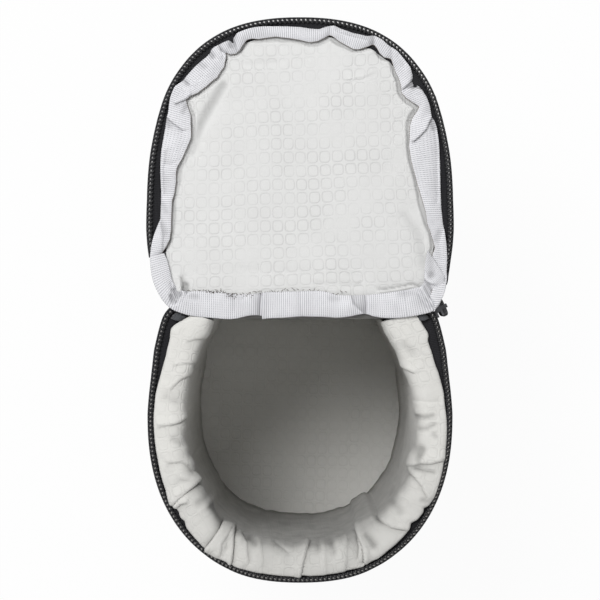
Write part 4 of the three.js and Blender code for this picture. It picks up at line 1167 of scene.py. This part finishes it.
# Lid lining. The same embossed cloth lies over the padding. The binding holds its edge down all
# round, so it dips beside the binding and is puffed up between, and it turns down to the hem.
lid_lining_inset, lid_lining_back = 0.0062, 0.0010
lining_edge_height = hinge.z - 0.0022
edge_band, edge_rise_reach, edge_puff, wide_puff, wide_reach = 0.0006, 0.0010, 0.0009, 0.0009, 0.008
hem_cover, hem_cover_ease, square_corner_tuck = 0.0032, 0.0015, 0.0022
square_corner_start, square_corner_ease = 0.038, 0.003
lid_waves = ((0.0004, 0.023, 33), (0.00014, 0.008, 35))
tension_depth, tension_size, tension_depth_size, tension_fade = 0.0004, 0.007, 0.02, 0.009
settle_reach, held_step, edge_band_size = 0.003, 0.0012, 0.011
edge_painted_shade = 0.2
lid_lining_folds = [
    ([(181.5, 291), (182, 284), (180.5, 278.5)], 0.0011, 0.0007),
    ([(351, 80), (362, 78), (372, 74)], 0.0002, 0.0008),
    ([(380, 290), (392, 288.6), (402, 286.5), (413, 284.4), (418, 286.5), (423, 289)], -0.001, 0.0006)]
lid_lining_dents = [
    ([(222, 84), (213, 100), (206, 112), (199, 125), (194, 137), (189, 150)], 0.0008, 0.0021),
    ([(185, 286), (184, 291)], 0.0012, 0.0012),
    ([(186, 272), (230, 270), (300, 272), (360, 276)], 0.0002, 0.002),
    ([(318, 283), (360, 285)], 0.0003, 0.0016), ([(405, 215), (418, 235), (424, 262)], 0.0004, 0.0028),
    ([(245, 62), (275, 60)], 0.0003, 0.002)]
bound_edge_picture = [
    (433.5, 312), (433.7, 303), (430.1, 298), (429.6, 295), (433.7, 284.7), (437.2, 277.6), (436.7, 273.5),
    (432.7, 265.3), (431.6, 257), (434.7, 248), (430.7, 233.4), (427.1, 223.6), (425.4, 211), (421.8, 198),
    (417.3, 184.3), (414.2, 172.7), (411.1, 161), (408.8, 146.8), (409.3, 138), (409.7, 125.2), (412.2, 117),
    (417.3, 110), (418.9, 105.8), (412.2, 101.7), (406.1, 97.7), (401.5, 92.6), (399.5, 80.3), (394.9, 71),
    (392.3, 63), (390.8, 58.4), (383.7, 56.8), (379.6, 52.8), (376, 46.6), (373, 43.6), (367.3, 46),
    (359.2, 48.7), (353.1, 48.7), (345.9, 44.6), (338.8, 41), (332.7, 36), (329.1, 34.4), (324.5, 37),
    (317.3, 40.5), (309.2, 41.7), (300, 39.5), (291, 38), (282.9, 37), (274.7, 36), (267.6, 37),
    (257.3, 38.5), (250.2, 38), (246.1, 39.5), (239, 49.7), (234.9, 53.3), (228.8, 53.8), (224.7, 51.2),
    (225.7, 55.8), (223.7, 66), (216.5, 77), (206.3, 85.4), (197.1, 92.6), (189, 96), (184.9, 99.7),
    (185.9, 101.7), (188, 109), (190, 115), (190.5, 132), (190.2, 138), (186.4, 146.6), (181.5, 158),
    (176.5, 166.5), (175.2, 173), (175.2, 181.4), (173.6, 193), (171.3, 201), (170.7, 213), (170.3, 229.5),
    (169, 239.4), (165.7, 246), (159.9, 255.2), (150, 264)]

lid_flat = cloth_grid(lid_lining_inset, lid_lining_back, 244, 232)
lid_sheet = on_lid(lid_flat, 0.0)
held_line = resample(from_picture(bound_edge_picture), held_step)
to_held = np.empty(lid_sheet.shape[:2])
inside_held = np.zeros(lid_sheet.shape[:2], bool)
for row_number, row in enumerate(lid_sheet[..., :2]):
    to_held[row_number] = np.linalg.norm(row[:, None] - held_line[None], axis=2).min(axis=1)
ring = np.concatenate([held_line, held_line[:1]])
for start, end in zip(ring[:-1], ring[1:]):
    level_with = (start[1] > lid_sheet[..., 1]) != (end[1] > lid_sheet[..., 1])
    if level_with.any():
        crossing = start[0] + (end[0] - start[0]) * (lid_sheet[..., 1] - start[1]) / (end[1] - start[1])
        inside_held ^= level_with & (lid_sheet[..., 0] < crossing)
to_held = np.where(inside_held | (lid_sheet[..., 1] < held_line[-1, 1]), to_held, 0)
band = edge_band * (1.2 + 1.6 * uneven(lid_sheet, edge_band_size, 39))
edge_rise = np.clip((to_held - band) / edge_rise_reach, 0, 1)
edge_rise = edge_rise * edge_rise * (3 - 2 * edge_rise)
puff = edge_puff * edge_rise + wide_puff * (1 - np.exp(-to_held / wide_reach))
tension_place = np.concatenate([
    lid_sheet[..., :2] / tension_size, to_held[..., None] / tension_depth_size], axis=-1)
tension = tension_depth * uneven(tension_place, 1.0, 31) * np.exp(-to_held / tension_fade)
settled = np.minimum(1, to_held / settle_reach)
lid_folds = (folded(lid_sheet, lid_lining_folds) - dented(lid_sheet, lid_lining_dents)) * settled
sway = waves(lid_sheet, lid_waves) + tension
lid_sheet[..., 2] = lining_edge_height + puff + sway * settled + lid_folds
under_hem = np.clip((hinge.y + hem_cover - lid_sheet[..., 1]) / hem_cover_ease, 0, 1)
at_corner = np.clip((np.abs(lid_sheet[..., 0]) - square_corner_start) / square_corner_ease, 0, 1)
lid_sheet[..., 2] -= square_corner_tuck * under_hem * at_corner
# Painted shade: the lining is painted darker in the narrow band where it dips beside the binding, and in the
# grooves of its folds and dents.
lid_painted_shade = edge_painted_shade * (1 - edge_rise) + np.clip(-lid_folds / crease_depth - 0.3, 0, 1) * painted_crease_shade
embossed_lining = finish_lining("embossed_lining", (209, 209, 208), (226, 226, 225), 0.08)
pattern_across, pattern_along = laid_askew(lid_flat[..., 0], lid_flat[..., 1], lid_sheet, 37)
lid_inner_cloth = loft("lid_inner_cloth", lid_sheet, embossed_lining, thickness=lining_cloth,
                       along=pattern_along, across=pattern_across, shade=lid_painted_shade)
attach(lid_inner_cloth, "lid")
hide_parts("lid_lining")

# Lid binding. Pale gray grosgrain tape covers the lining's raw edge round the lid, eased round the
# curve in waves, laps and small tucks, with a dark thread along its inner edge. Its right corner,
# by the hinge, is a separate piece.
rib_pitch, rib_relief, warp_pitch, rib_steps = 0.00076, 0.00006, 0.00078, 6
binding_cloth, binding_columns = 0.00045, 25
binding_deep, binding_bright = (140, 140, 146), (230, 230, 233)
binding_outer_picture = [
    (433.7, 312), (437.8, 305), (441.8, 298), (444.9, 289.8), (446.9, 277.6), (446.4, 271.4), (446.9, 257),
    (445.9, 240.8), (442.9, 223.5), (441.3, 208), (440.5, 188), (440.1, 173.6), (439.6, 157.5),
    (438.8, 142.3), (436.5, 127), (434.7, 121), (431.4, 116), (431.1, 113), (429.6, 104.8), (426.5, 96.6),
    (421.4, 88.5), (412.4, 80), (412.8, 75.2), (410.2, 67), (404.1, 58.9), (396.9, 50.7), (387.8, 44.6),
    (381.6, 39), (373.5, 35), (366.3, 35.4), (353.1, 32.3), (340.8, 28.3), (333.7, 25.2), (326.5, 25.7),
    (318.4, 28.3), (310.2, 27.8), (300, 26.2), (286, 25.7), (272.7, 25.7), (257.3, 26.2), (247.1, 28.3),
    (236.9, 32.3), (231.8, 38.5), (224.7, 40.5), (211.4, 47.7), (206.3, 55.8), (194.1, 66), (184.9, 76.2),
    (181.8, 80.3), (173.7, 86.4), (169.6, 96.6), (168, 106.8), (167, 114), (165.5, 118), (164.5, 127),
    (162.4, 138.3), (160.3, 150.7), (159.5, 163), (159.7, 179.7), (160.3, 192), (159.9, 204.6),
    (159.5, 218.7), (154.9, 229.5), (151.6, 240.3), (150, 249.4), (149, 259.4), (149.6, 264.5)]
binding_folds = [
    ([(165, 116.5), (170.6, 122), (176, 126), (181.5, 130)], 0.00065, 0.00045),
    ([(176, 103.5), (182, 101), (186.5, 98.5), (189.5, 95.5)], 0.0006, 0.0005),
    ([(182.5, 78), (186, 81.5), (190, 85)], 0.0003, 0.0005),
    ([(218, 44), (220, 49), (222, 54)], -0.0004, 0.0005),
    ([(221, 50), (225, 52.5), (227, 55.5)], -0.0006, 0.0005),
    ([(231, 38), (234, 43), (236, 49)], 0.0005, 0.0014), ([(329, 25), (329, 30), (329, 35)], 0.0004, 0.0012),
    ([(373, 35), (373, 40), (373, 44)], 0.0004, 0.0012),
    ([(391, 47), (391, 53), (391, 59)], 0.00035, 0.0012),
    ([(412.3, 79.5), (409, 84), (404, 88)], -0.0006, 0.0007),
    ([(421, 88), (415, 86), (409, 87)], 0.00055, 0.0008),
    ([(432, 117), (426.5, 129), (419, 137), (414, 141)], -0.0007, 0.00045),
    ([(171, 285), (171.6, 293), (172, 302)], 0.0003, 0.0005),
    ([(424, 300), (428, 304), (432, 307)], 0.0004, 0.0005),
    ([(163.5, 192), (163, 170), (165, 152)], 0.00035, 0.0009),
    ([(435, 124), (437, 150), (437.5, 200)], 0.00035, 0.0009),
    ([(338, 31), (350, 34.5), (366, 38.5)], -0.00035, 0.0009),
    ([(160, 222), (163, 236), (162, 250)], -0.0003, 0.001),
    ([(178, 160), (170, 164), (163, 163)], 0.0002, 0.0012),
    ([(442, 232), (438, 244), (440, 256)], 0.0002, 0.0012)]
binding_height, binding_crest, binding_tilt, past_hinge = hinge.z - 0.0013, 0.0008, 0.0006, 0.012
coil_clear, coil_ease, coil_lift, least_binding_width = 0.0038, 0.0012, 0.0014, 0.0004
wave_depth, wave_size, wave_across = 0.0005, 0.011, 0.8
start_lift, start_lift_reach = 0.0006, 0.016
hinge_turn_start, hinge_turn_end = hinge.y - 0.002, hinge.y + 0.002
end_lift, end_lift_start, end_lift_reach = 0.0022, 0.0075, 0.005
binding_dents = [
    ([(208, 51), (212, 56)], 0.0007, 0.0009), ([(184, 77), (187, 82)], 0.0006, 0.0009),
    ([(218, 47), (220, 53)], 0.0005, 0.0007), ([(233, 38), (231, 44)], 0.0008, 0.0012),
    ([(198, 62), (204, 66)], 0.0004, 0.0009), ([(415, 78), (414, 87)], 0.0009, 0.0012),
    ([(372, 36), (372, 42)], 0.0003, 0.0012), ([(432, 122), (434, 128)], 0.0007, 0.0009),
    ([(165, 119), (168, 126)], 0.0005, 0.0009), ([(186, 106), (183, 112)], 0.0004, 0.001),
    ([(398, 57), (402, 64)], 0.0003, 0.0012), ([(162, 205), (165, 212)], 0.0003, 0.0012),
    ([(439, 232), (436, 240)], 0.0004, 0.0012), ([(160, 226), (164, 232)], 0.0004, 0.0014)]


def finish_grosgrain(name, deep, bright):
    """Ribbed tape: each rib is pale on its back, and the groove beside it is painted dark as painted
    shade, with fine warp threads over it, soft dirt here and there, and the piece's painted shade."""
    material = new_finish(name)
    place = add_node(material, "UVMap").outputs[0]
    ribs = reckon(material, "POWER", texture(material, "Wave", math.pi / (10 * rib_pitch), place), 0.35)
    warps = texture(material, "Wave", math.pi / (10 * warp_pitch), place, bands_direction="Y")
    filled = reckon(material, "MULTIPLY", warps, mottle(material, 0.009, 0.1, 1.1))
    height = add_node(material, "Mix", {"Factor": filled, "A": ribs, "B": 0.86}).outputs[0]
    ribbed = mix_colours(material, height, colour(deep), colour(bright))
    return set_shader(material, {
        "Base Color": with_painted_shade(material, ribbed, mottle(material, 0.006, 0.94, 1.04)),
        "Normal": raised(material, height, 0.0001, 0.45), "Roughness": 0.8, "Sheen Weight": 0.08,
        "Specular IOR Level": 0.25})


across_ribbon = np.linspace(0, 1, binding_columns)


def ribbon_waves(along, size, seed):
    """A smooth unevenness along a tape, and a little across it, in lumps of about that size."""
    return uneven(np.stack(np.broadcast_arrays(
        along[:, None] / size, across_ribbon[None] * wave_across, np.zeros((1, 1))), axis=-1), 1.0, seed)


def ribbon(name, outer, inner, heights, finish, folds, dents):
    """A ribbed tape between two lines of (x, y), whose heights are given across it."""
    flat = outer[:, None] + (inner - outer)[:, None] * across_ribbon[None, :, None]
    along = lengths_along(flat.mean(axis=1))
    ribs = rib_relief * (0.5 - 0.5 * np.cos(2 * math.pi * along / rib_pitch))
    edges = 1 + 1.2 * np.exp(-(across_ribbon / 0.14) ** 2)
    creases = folded(flat, folds) - dented(flat, dents)
    heights = heights + creases + ribs[:, None] * edges[None]
    top = np.concatenate([flat, heights[..., None]], axis=-1)
    under = top[:, ::-2].copy()
    under[..., 2] -= binding_cloth + ribs[:, None] * edges[None, ::-2]
    width = np.linalg.norm(inner - outer, axis=1).mean()
    across = np.concatenate([across_ribbon, 1 + across_ribbon[::2], [2 + across_ribbon[1]]]) * width
    # Painted shade in the grooves of the tape's folds and in its dents.
    shade = np.clip(-creases / crease_depth, 0, 1) * painted_crease_shade
    shade = np.concatenate([shade, shade[:, ::-2]], axis=1)
    return loft(name, np.concatenate([top, under], axis=1), finish, tube=True, along=along, across=across,
                shade=shade)


lid_path = on_lid(rim_line(0, 0, square_corner)[corner_steps:-corner_steps], 0.0)[:, :2]
lid_path = np.concatenate([lid_path[:1] - (0, past_hinge), lid_path, lid_path[-1:] - (0, past_hinge)])
lid_path = resample(lid_path, rib_pitch / rib_steps)
lid_inward = world_inward(lid_path, 36)
lid_lengths = lengths_along(lid_path)
outer_marks = insets_of(from_picture(binding_outer_picture), lid_path, lid_inward)
inner_marks = insets_of(from_picture(bound_edge_picture), lid_path, lid_inward)
bound = (lid_lengths > max(outer_marks[0][0], inner_marks[0][0])) & (
    lid_lengths < min(outer_marks[0][-1], inner_marks[0][-1]))
binding_outer_inset = soften(np.interp(lid_lengths, *outer_marks), 7)[bound]
binding_inner_inset = soften(np.interp(lid_lengths, *inner_marks), 5)[bound]
binding_inner_inset = np.maximum(binding_inner_inset, binding_outer_inset + least_binding_width)
lid_path, lid_inward, lid_lengths = lid_path[bound], lid_inward[bound], lid_lengths[bound]
binding_outer = lid_path + lid_inward * binding_outer_inset[:, None]
binding_inner = lid_path + lid_inward * binding_inner_inset[:, None]
arch = np.sin(math.pi * across_ribbon) ** 0.7
over_coil = np.clip((coil_clear - binding_outer_inset) / coil_ease, 0, 1)
over_coil = soften(over_coil, 9)[:, None] * (1 - across_ribbon)[None] ** 1.3
binding_heights = (binding_height + binding_crest * arch[None] + binding_tilt * across_ribbon[None] ** 2
                   + coil_lift * over_coil)
binding_heights += wave_depth * ribbon_waves(lid_lengths, wave_size, 41) * (0.35 + across_ribbon)[None]
from_start = np.minimum(1, (lid_lengths - lid_lengths[0]) / start_lift_reach)
binding_heights += (start_lift * (1 - from_start))[:, None]
near_hinge = np.clip((hinge.y + end_lift_start - binding_inner[:, 1]) / end_lift_reach, 0, 1)
binding_heights += end_lift * near_hinge[:, None]
grosgrain = finish_grosgrain("grosgrain", binding_deep, binding_bright)
corner_end = int((binding_inner[:, 1] < hinge.y + end_lift_start).sum()) + 1
for tape_name, first, last in (("lid_binding_corner", 0, corner_end),
                               ("lid_binding_tape", corner_end - 1, None)):
    tape = ribbon(tape_name, binding_outer[first:last], binding_inner[first:last],
                  binding_heights[first:last], grosgrain, binding_folds, binding_dents)
    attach(tape, "lid")
    if first:
        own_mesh(tape)
        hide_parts("lid_binding")
    else:
        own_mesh(tape)
edge_thread_radius, edge_thread_step = 0.0001, 4
edge_thread = finish_thread("edge_thread", (104, 88, 72))
inner_heights = binding_heights[:, -1] + folded(binding_inner, binding_folds)
inner_heights -= dented(binding_inner, binding_dents)
thread_line = np.column_stack([binding_inner, inner_heights - edge_thread_radius])
thread_line = thread_line[binding_inner[:, 1] > hinge_turn_end][::edge_thread_step]
inner_thread = loft("binding_edge_thread", tube_rows(thread_line, edge_thread_radius, 6), edge_thread,
                    tube=True)
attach(inner_thread, "lid")
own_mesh(inner_thread)

# Hem. The same grosgrain covers the seam where the lid's lining meets the back, across the hinge,
# and turns up at both corners. Its two lengths lap near the left, and its upper edge is frayed.
hem_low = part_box("hem_binding")[0]
hem_left_picture = [
    ((149.2, 257), (163.5, 253)), ((149.5, 264), (166.5, 259.5)), ((150.3, 273), (168.5, 267)),
    ((153.3, 284.7), (170.2, 275)), ((158.4, 295), (172, 281.5)), ((163.5, 303), (174.5, 286)),
    ((170.6, 309.2), (178, 289.5)), ((178.8, 312.6), (184, 291.2)), ((189, 315.8), (191, 291.3)),
    ((201.2, 317.3), (202, 291)), ((216.5, 318.4), (216.5, 291.5)), ((226.7, 319.4), (226.7, 292.8)),
    ((235, 319), (235, 294)), ((243, 316.8), (243.5, 294.4)), ((252, 315), (252.5, 294)),
    ((262, 316), (263, 292.5))]
hem_right_picture = [
    ((261.4, 319.4), (262.6, 292.3)), ((267.6, 318.4), (268, 292)), ((282.9, 318), (283, 291.4)),
    ((300, 316.4), (300, 291.5)), ((310.2, 316.8), (310.2, 290.8)), ((320.4, 316.8), (320.4, 290.8)),
    ((329, 317.4), (329, 292.5)), ((336, 318), (335.7, 295)), ((349, 316.8), (346, 295.4)),
    ((357, 314.8), (355, 295.4)), ((363.3, 313.8), (361.5, 295)), ((367.3, 314.3), (366, 295)),
    ((373.5, 316.8), (373, 294.3)), ((386.7, 318.4), (385, 293)), ((400, 318), (397, 291.3)),
    ((411, 316.6), (407, 289.8)), ((419, 315), (413.5, 288)), ((427.6, 313.3), (418.5, 287.5)),
    ((433.7, 310.7), (422, 285.5)), ((438.5, 306), (424, 281)), ((441.8, 299), (424, 274)),
    ((443.5, 290), (424.5, 264)), ((444.5, 277), (427, 250))]
hem_folds = [
    ([(171, 285), (171.6, 293), (172, 302)], 0.00045, 0.0005),
    ([(181, 294), (178, 299), (174.5, 304)], 0.00045, 0.0005),
    ([(187, 292), (184.5, 297), (182, 302)], 0.0003, 0.0005),
    ([(352, 297), (354, 304), (364, 313)], -0.00055, 0.0012),
    ([(365, 297), (365.5, 305), (365, 313)], 0.0006, 0.0009),
    ([(421, 291), (424, 297), (431, 306)], 0.00055, 0.0006),
    ([(418, 295), (421, 300), (426, 306)], 0.0003, 0.0005),
    ([(425, 281), (429, 284), (433, 285)], 0.0005, 0.0006),
    ([(233, 296), (234, 303), (234, 310)], 0.0002, 0.001),
    ([(300, 293), (300, 304), (302, 315)], 0.0002, 0.001),
    ([(261, 292), (259.5, 304), (259, 317)], 0.0009, 0.0008)]
hem_dents = [
    ([(176, 292), (172, 300)], 0.0006, 0.0011), ([(188, 296), (196, 297)], 0.0005, 0.0012),
    ([(176, 283), (174, 290)], 0.0005, 0.001), ([(330, 299), (346, 299)], 0.0003, 0.0012),
    ([(400, 294), (412, 293)], 0.0003, 0.0012), ([(426, 281), (431, 275)], 0.0005, 0.0012),
    ([(173, 290), (176, 297)], 0.0009, 0.0006), ([(177, 288), (181, 296)], 0.0007, 0.0005),
    ([(180, 284), (186, 292)], 0.0006, 0.0005), ([(170, 296), (176, 303)], 0.0007, 0.0006),
    ([(424, 287), (430, 297)], 0.0009, 0.0007), ([(428, 285), (433, 294)], 0.0007, 0.0006),
    ([(228, 296), (240, 298)], 0.0003, 0.0012), ([(431, 274), (430, 262), (429, 252)], 0.0004, 0.0016)]
hem_rise, hem_crown, hem_lap, hem_wave, hem_wave_size = 0.0008, 0.0008, 0.0004, 0.0004, 0.009
tuck_start, tuck_reach, tuck_drop, corner_start = 0.0432, 0.0045, 0.0006, 0.039
hem_step = rib_pitch / rib_steps * 1.35
fray_length, fray_radius, fray_lift, fray_lift_spread = 0.0009, 0.0001, 0.0011, 0.0003
fray_spread_x, fray_spread_y, fray_seed = 0.0006, 0.0014, 1795886265
frayed_spans = [
    ((186, 290.6), (204, 290.8), 7), ((205, 291.4), (221, 292), 20), ((222, 293), (238, 294.6), 12),
    ((231, 297), (239, 299), 3), ((240, 294.8), (261, 292.6), 14), ((264, 292), (300, 291), 15),
    ((301, 291.6), (347, 292.8), 22), ((215, 296), (262, 300), 6)]


def eased_line(points, spacing):
    """A line through chosen points with its corners rounded off, evenly spaced."""
    points = np.asarray(points, float)
    for _ in range(2):
        ahead, behind = points[:-1] * 0.75 + points[1:] * 0.25, points[:-1] * 0.25 + points[1:] * 0.75
        inner = np.stack([ahead, behind], axis=1).reshape(-1, points.shape[1])
        points = np.concatenate([points[:1], inner, points[-1:]])
    return resample(points, spacing)


for hem_name, pairs, lap in (("hem_tape_left", hem_left_picture, 0.0),
                             ("hem_tape_right", hem_right_picture, hem_lap)):
    lines = eased_line(from_picture(pairs).reshape(-1, 4), hem_step)
    tucked = np.clip((np.abs(lines[:, 0]) - tuck_start) / tuck_reach, 0, 1) ** 1.5
    hem_heights = hem_low.z + hem_rise + lap + hem_crown * arch[None] - tuck_drop * tucked[:, None]
    hem_heights = hem_heights + hem_wave * ribbon_waves(lines[:, 0], hem_wave_size, 51)
    upturned = lines[:, 1] > hinge_turn_end
    at_corner = (np.abs(lines[:, 0]) > corner_start) & ~upturned
    for part_name, part in (("", ~upturned & ~at_corner), ("_corner", at_corner), ("_upturn", upturned)):
        first, last = max(int(np.argmax(part)) - 1, 0), len(part) - int(np.argmax(part[::-1]))
        tape = ribbon(hem_name + part_name, lines[first:last, :2], lines[first:last, 2:],
                      hem_heights[first:last], grosgrain, hem_folds, hem_dents)
        if part_name == "_upturn":
            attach(tape, "lid")
            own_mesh(tape)
        elif part_name == "_corner":
            side = 1 if lap else -1
            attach(tape, "pouch")
            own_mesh(tape)
        else:
            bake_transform(tape)
            if lap:
                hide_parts("hem_binding")
noise.seed_set(fray_seed)
fray_places, fray_ahead = [], []
for (start_x, start_y), (end_x, end_y), count in frayed_spans:
    for number in range(count):
        share = (number + 0.5) / count
        spot = Vector((number * 3.1 + start_x, share * 7.3, 0.7))
        wobble = noise.noise_vector(spot)
        place = from_picture((start_x + (end_x - start_x) * share, start_y + (end_y - start_y) * share))
        fray_places.append((place[0] + wobble.z * fray_spread_x, place[1] + wobble.x * fray_spread_y,
                            hem_low.z + fray_lift + wobble.z * fray_lift_spread))
        fray_ahead.append((1.3 * math.cos(number * 2.4), math.sin(number * 1.7) + wobble.y, wobble.x * 0.4))
frayed = stitches("hem_frayed_threads", fray_places, fray_ahead, [(0, 0, 1)] * len(fray_places),
                  finish_thread("frayed_thread", (88, 82, 75), 0.8), fray_length, fray_radius)
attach(frayed, "lid")

# Zip slider and pull. Black lacquered zinc: the slider's two plates and its bridge, and the flat
# tab that hangs on the bridge, with their edges broken as castings have them.
def finish_lacquer(name, shade):
    """Satin black lacquer on metal, a little thinner and brighter where it has rubbed."""
    material = new_finish(name)
    rubbed = mottle(material, 0.003, 0.0, 1.0, 6.0)
    return set_shader(material, {
        "Base Color": mix_colours(material, rubbed, colour(shade, 0.8), colour(shade, 1.7)),
        "Roughness": mottle(material, 0.0006, 0.3, 0.5), "Metallic": 0.75})


lacquer = finish_lacquer("black_lacquer", (46, 46, 48))
cast_edge = 0.0002
for node_name in ("zip_slider", "pull_tab"):
    casting = frame["nodes"][node_name]
    casting.data.materials.clear()
    casting.data.materials.append(lacquer)
    bevel = casting.modifiers.new("broken_edges", "BEVEL")
    bevel.width = cast_edge
    bevel.segments = 3
    bevel.limit_method = "ANGLE"

# Grip. Soft black rubber is moulded over the end of the pull: a flat bar, rounded off at both ends,
# with ribs across it for the fingers.
grip_low, grip_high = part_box("pull_grip")
pull_joint = next(joint for joint in frame["joints"] if joint["name"] == "pull_swing")
pull_axis = np.array(pull_joint["axis"])
pull_out = np.cross(pull_axis, (0, 0, 1)) * -1
grip_width, grip_thickness, grip_end = 0.0074, 0.0028, 0.0011
grip_middle = np.array([(grip_low.x + grip_high.x) / 2, (grip_low.y + grip_high.y) / 2])
grip_ribs, grip_rows, ribs_start, ribs_share, round_power = 7, 72, 0.16, 0.68, 0.55
grip_heights = np.linspace(grip_low.z, grip_high.z, grip_rows)
grip_share = np.linspace(0, 1, grip_rows)
from_end = np.minimum(grip_share, 1 - grip_share) * (grip_high.z - grip_low.z)
end_round = np.maximum(np.minimum(1, from_end / grip_end) ** 0.5, 0.3)
in_ribs = (grip_share > ribs_start) & (grip_share < ribs_start + ribs_share)
rib_turn = 2 * math.pi * grip_ribs * (grip_share - ribs_start) / ribs_share
rib_dip = np.where(in_ribs, 0.5 + 0.5 * np.cos(rib_turn), 1.0)
grip_turn = np.linspace(0, 2 * math.pi, 28, endpoint=False)
half_across = grip_width / 2 * (0.35 + 0.65 * end_round) * (0.93 + 0.07 * rib_dip)
half_through = grip_thickness / 2 * end_round * (0.72 + 0.28 * rib_dip)
shape_across, shape_through = (np.sign(wave) * np.abs(wave) ** round_power
                               for wave in (np.cos(grip_turn), np.sin(grip_turn)))
grip_flat = (grip_middle[None, None]
             + pull_axis[None, None, :2] * (half_across[:, None] * shape_across[None])[..., None]
             + pull_out[None, None, :2] * (half_through[:, None] * shape_through[None])[..., None])
grip_points = np.concatenate([grip_flat, np.broadcast_to(
    grip_heights[:, None, None], grip_flat.shape[:2] + (1,))], axis=-1)


def finish_rubber(name, shade):
    """Matt moulded rubber with a fine sandblasted grain."""
    material = new_finish(name)
    tone = mix_colours(material, mottle(material, 0.002, 0, 1), colour(shade, 0.85), colour(shade, 1.25))
    return set_shader(material, {
        "Base Color": tone, "Normal": raised(material, texture(material, "Noise", 4000.0), 0.00004, 0.4),
        "Roughness": 0.62})


grip = loft("pull_grip_rubber", grip_points, finish_rubber("grip_rubber", (34, 34, 36)), tube=True)
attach(grip, "pull")
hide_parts("pull_grip")

# Belt tab. Wide ribbed webbing, sewn to the back at its top with a boxed cross of thread, bows out
# to let a belt through and closes at its foot with a hook patch on a loop patch.
tab_low, tab_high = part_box("belt_tab")
anchor_low, anchor_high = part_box("tab_anchor")
loop_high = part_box("loop_patch")[1]
hook_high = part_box("hook_patch")[1]
web_thickness, web_ridge, web_ridges = 0.0015, 0.00012, 12
web_width = tab_high.x - tab_low.x
web_black, web_bright = (20, 20, 22), (52, 53, 57)
tab_joint = next(joint for joint in frame["joints"] if joint["name"] == "tab_peel")
pivot = Vector(tab_joint["pos_m"])
bow_inside = tab_high.y - web_thickness
foot_inside = hook_high.y + 0.0003
patch_margin, bend_length = 0.002, 0.009
webbing = finish_cloth("webbing", web_black, web_bright, (0.0009, 0.0005), relief=0.00022, unevenness=0.15)


def web_rows(line, thickness):
    """Webbing along a line of (y, z): rows across its face, its rounded edges and its back."""
    outward_yz = inward_of(line)
    if outward_yz[len(line) // 2, 0] < 0:
        outward_yz = -outward_yz
    spots = np.linspace(-1, 1, 41)
    ridges = web_ridge * 0.5 * np.cos(spots * math.pi * web_ridges) * (np.abs(spots) < 0.9)
    face = thickness / 2 * (1 - 0.45 * np.abs(spots) ** 14) + ridges - web_ridge * 0.5
    loop_x = np.concatenate([spots, spots[::-1]]) * web_width / 2
    loop_off = np.concatenate([face, -face[::-1]])
    middle = line + outward_yz * thickness / 2
    yz = middle[:, None] + outward_yz[:, None] * loop_off[None, :, None]
    return np.concatenate([np.broadcast_to(loop_x[None, :, None], yz.shape[:2] + (1,)), yz], axis=-1)


foot_top = loop_high.z + patch_margin
tab_course = eased_line([
    (foot_inside, tab_low.z), (foot_inside, (tab_low.z + foot_top) / 2), (foot_inside, foot_top),
    (bow_inside, foot_top + bend_length), (bow_inside, (foot_top + pivot.z) / 2),
    (bow_inside, pivot.z - bend_length), (anchor_low.y, pivot.z)], 0.0008)
belt_webbing = loft("belt_webbing", web_rows(tab_course, web_thickness), webbing, tube=True)
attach(belt_webbing, "tab")
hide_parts("belt_tab")
anchor_levels = np.linspace(anchor_low.z, anchor_high.z, 14)
anchor_course = np.column_stack([np.full_like(anchor_levels, anchor_low.y), anchor_levels])
anchor = loft("anchor_webbing", web_rows(anchor_course, anchor_high.y - anchor_low.y), webbing, tube=True)
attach(anchor, "pouch")
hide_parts("tab_anchor")
box_margin, box_thread_lift = 0.0022, 0.0001
box_x, box_y = web_width / 2 - box_margin, anchor_high.y + box_thread_lift
box_low, box_high = anchor_low.z + box_margin, anchor_high.z - box_margin
box_corners = np.array([(-box_x, box_y, box_low), (box_x, box_y, box_low), (box_x, box_y, box_high),
                        (-box_x, box_y, box_high)])
for number, pair in enumerate(((0, 1), (1, 2), (2, 3), (3, 0), (0, 2), (3, 1))):
    line = resample(box_corners[list(pair)], 0.001)
    box_seam = seam(f"anchor_stitching_{number}", line, np.tile((0.0, 1.0, 0.0), (len(line), 1)), dark_thread)
    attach(box_seam, "pouch")


def finish_fastener(name, shade, size):
    """The nap of touch fastener: a dense field of tiny loops or hooks."""
    material = new_finish(name)
    nap = texture(material, "Voronoi", 1 / size)
    return set_shader(material, {
        "Base Color": mix_colours(material, nap, colour(shade, 1.5), colour(shade, 0.7)),
        "Normal": raised(material, nap, 0.0003, 0.8), "Roughness": 0.9})


sewn_down, nap_reach = 0.0003, 0.00013
patch_round, patch_dimple, patch_dimple_size = 0.0003, 0.00018, 0.0011
for patch_name, node_name, body, nap_size in (
        ("loop_side", "loop_patch", "pouch", 0.0005), ("hook_side", "hook_patch", "tab", 0.0009)):
    patch_low, patch_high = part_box(node_name)
    patch_low.y -= sewn_down if body == "pouch" else nap_reach
    patch_high.y += nap_reach if body == "pouch" else sewn_down
    nap_finish = finish_fastener(f"{patch_name}_nap", (30, 30, 33), nap_size)
    patch = loft(patch_name, slab_rows(patch_low, patch_high, 60, 44, patch_round, patch_dimple, 61,
                                       patch_dimple_size), nap_finish, tube=True)
    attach(patch, body)
    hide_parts(node_name)
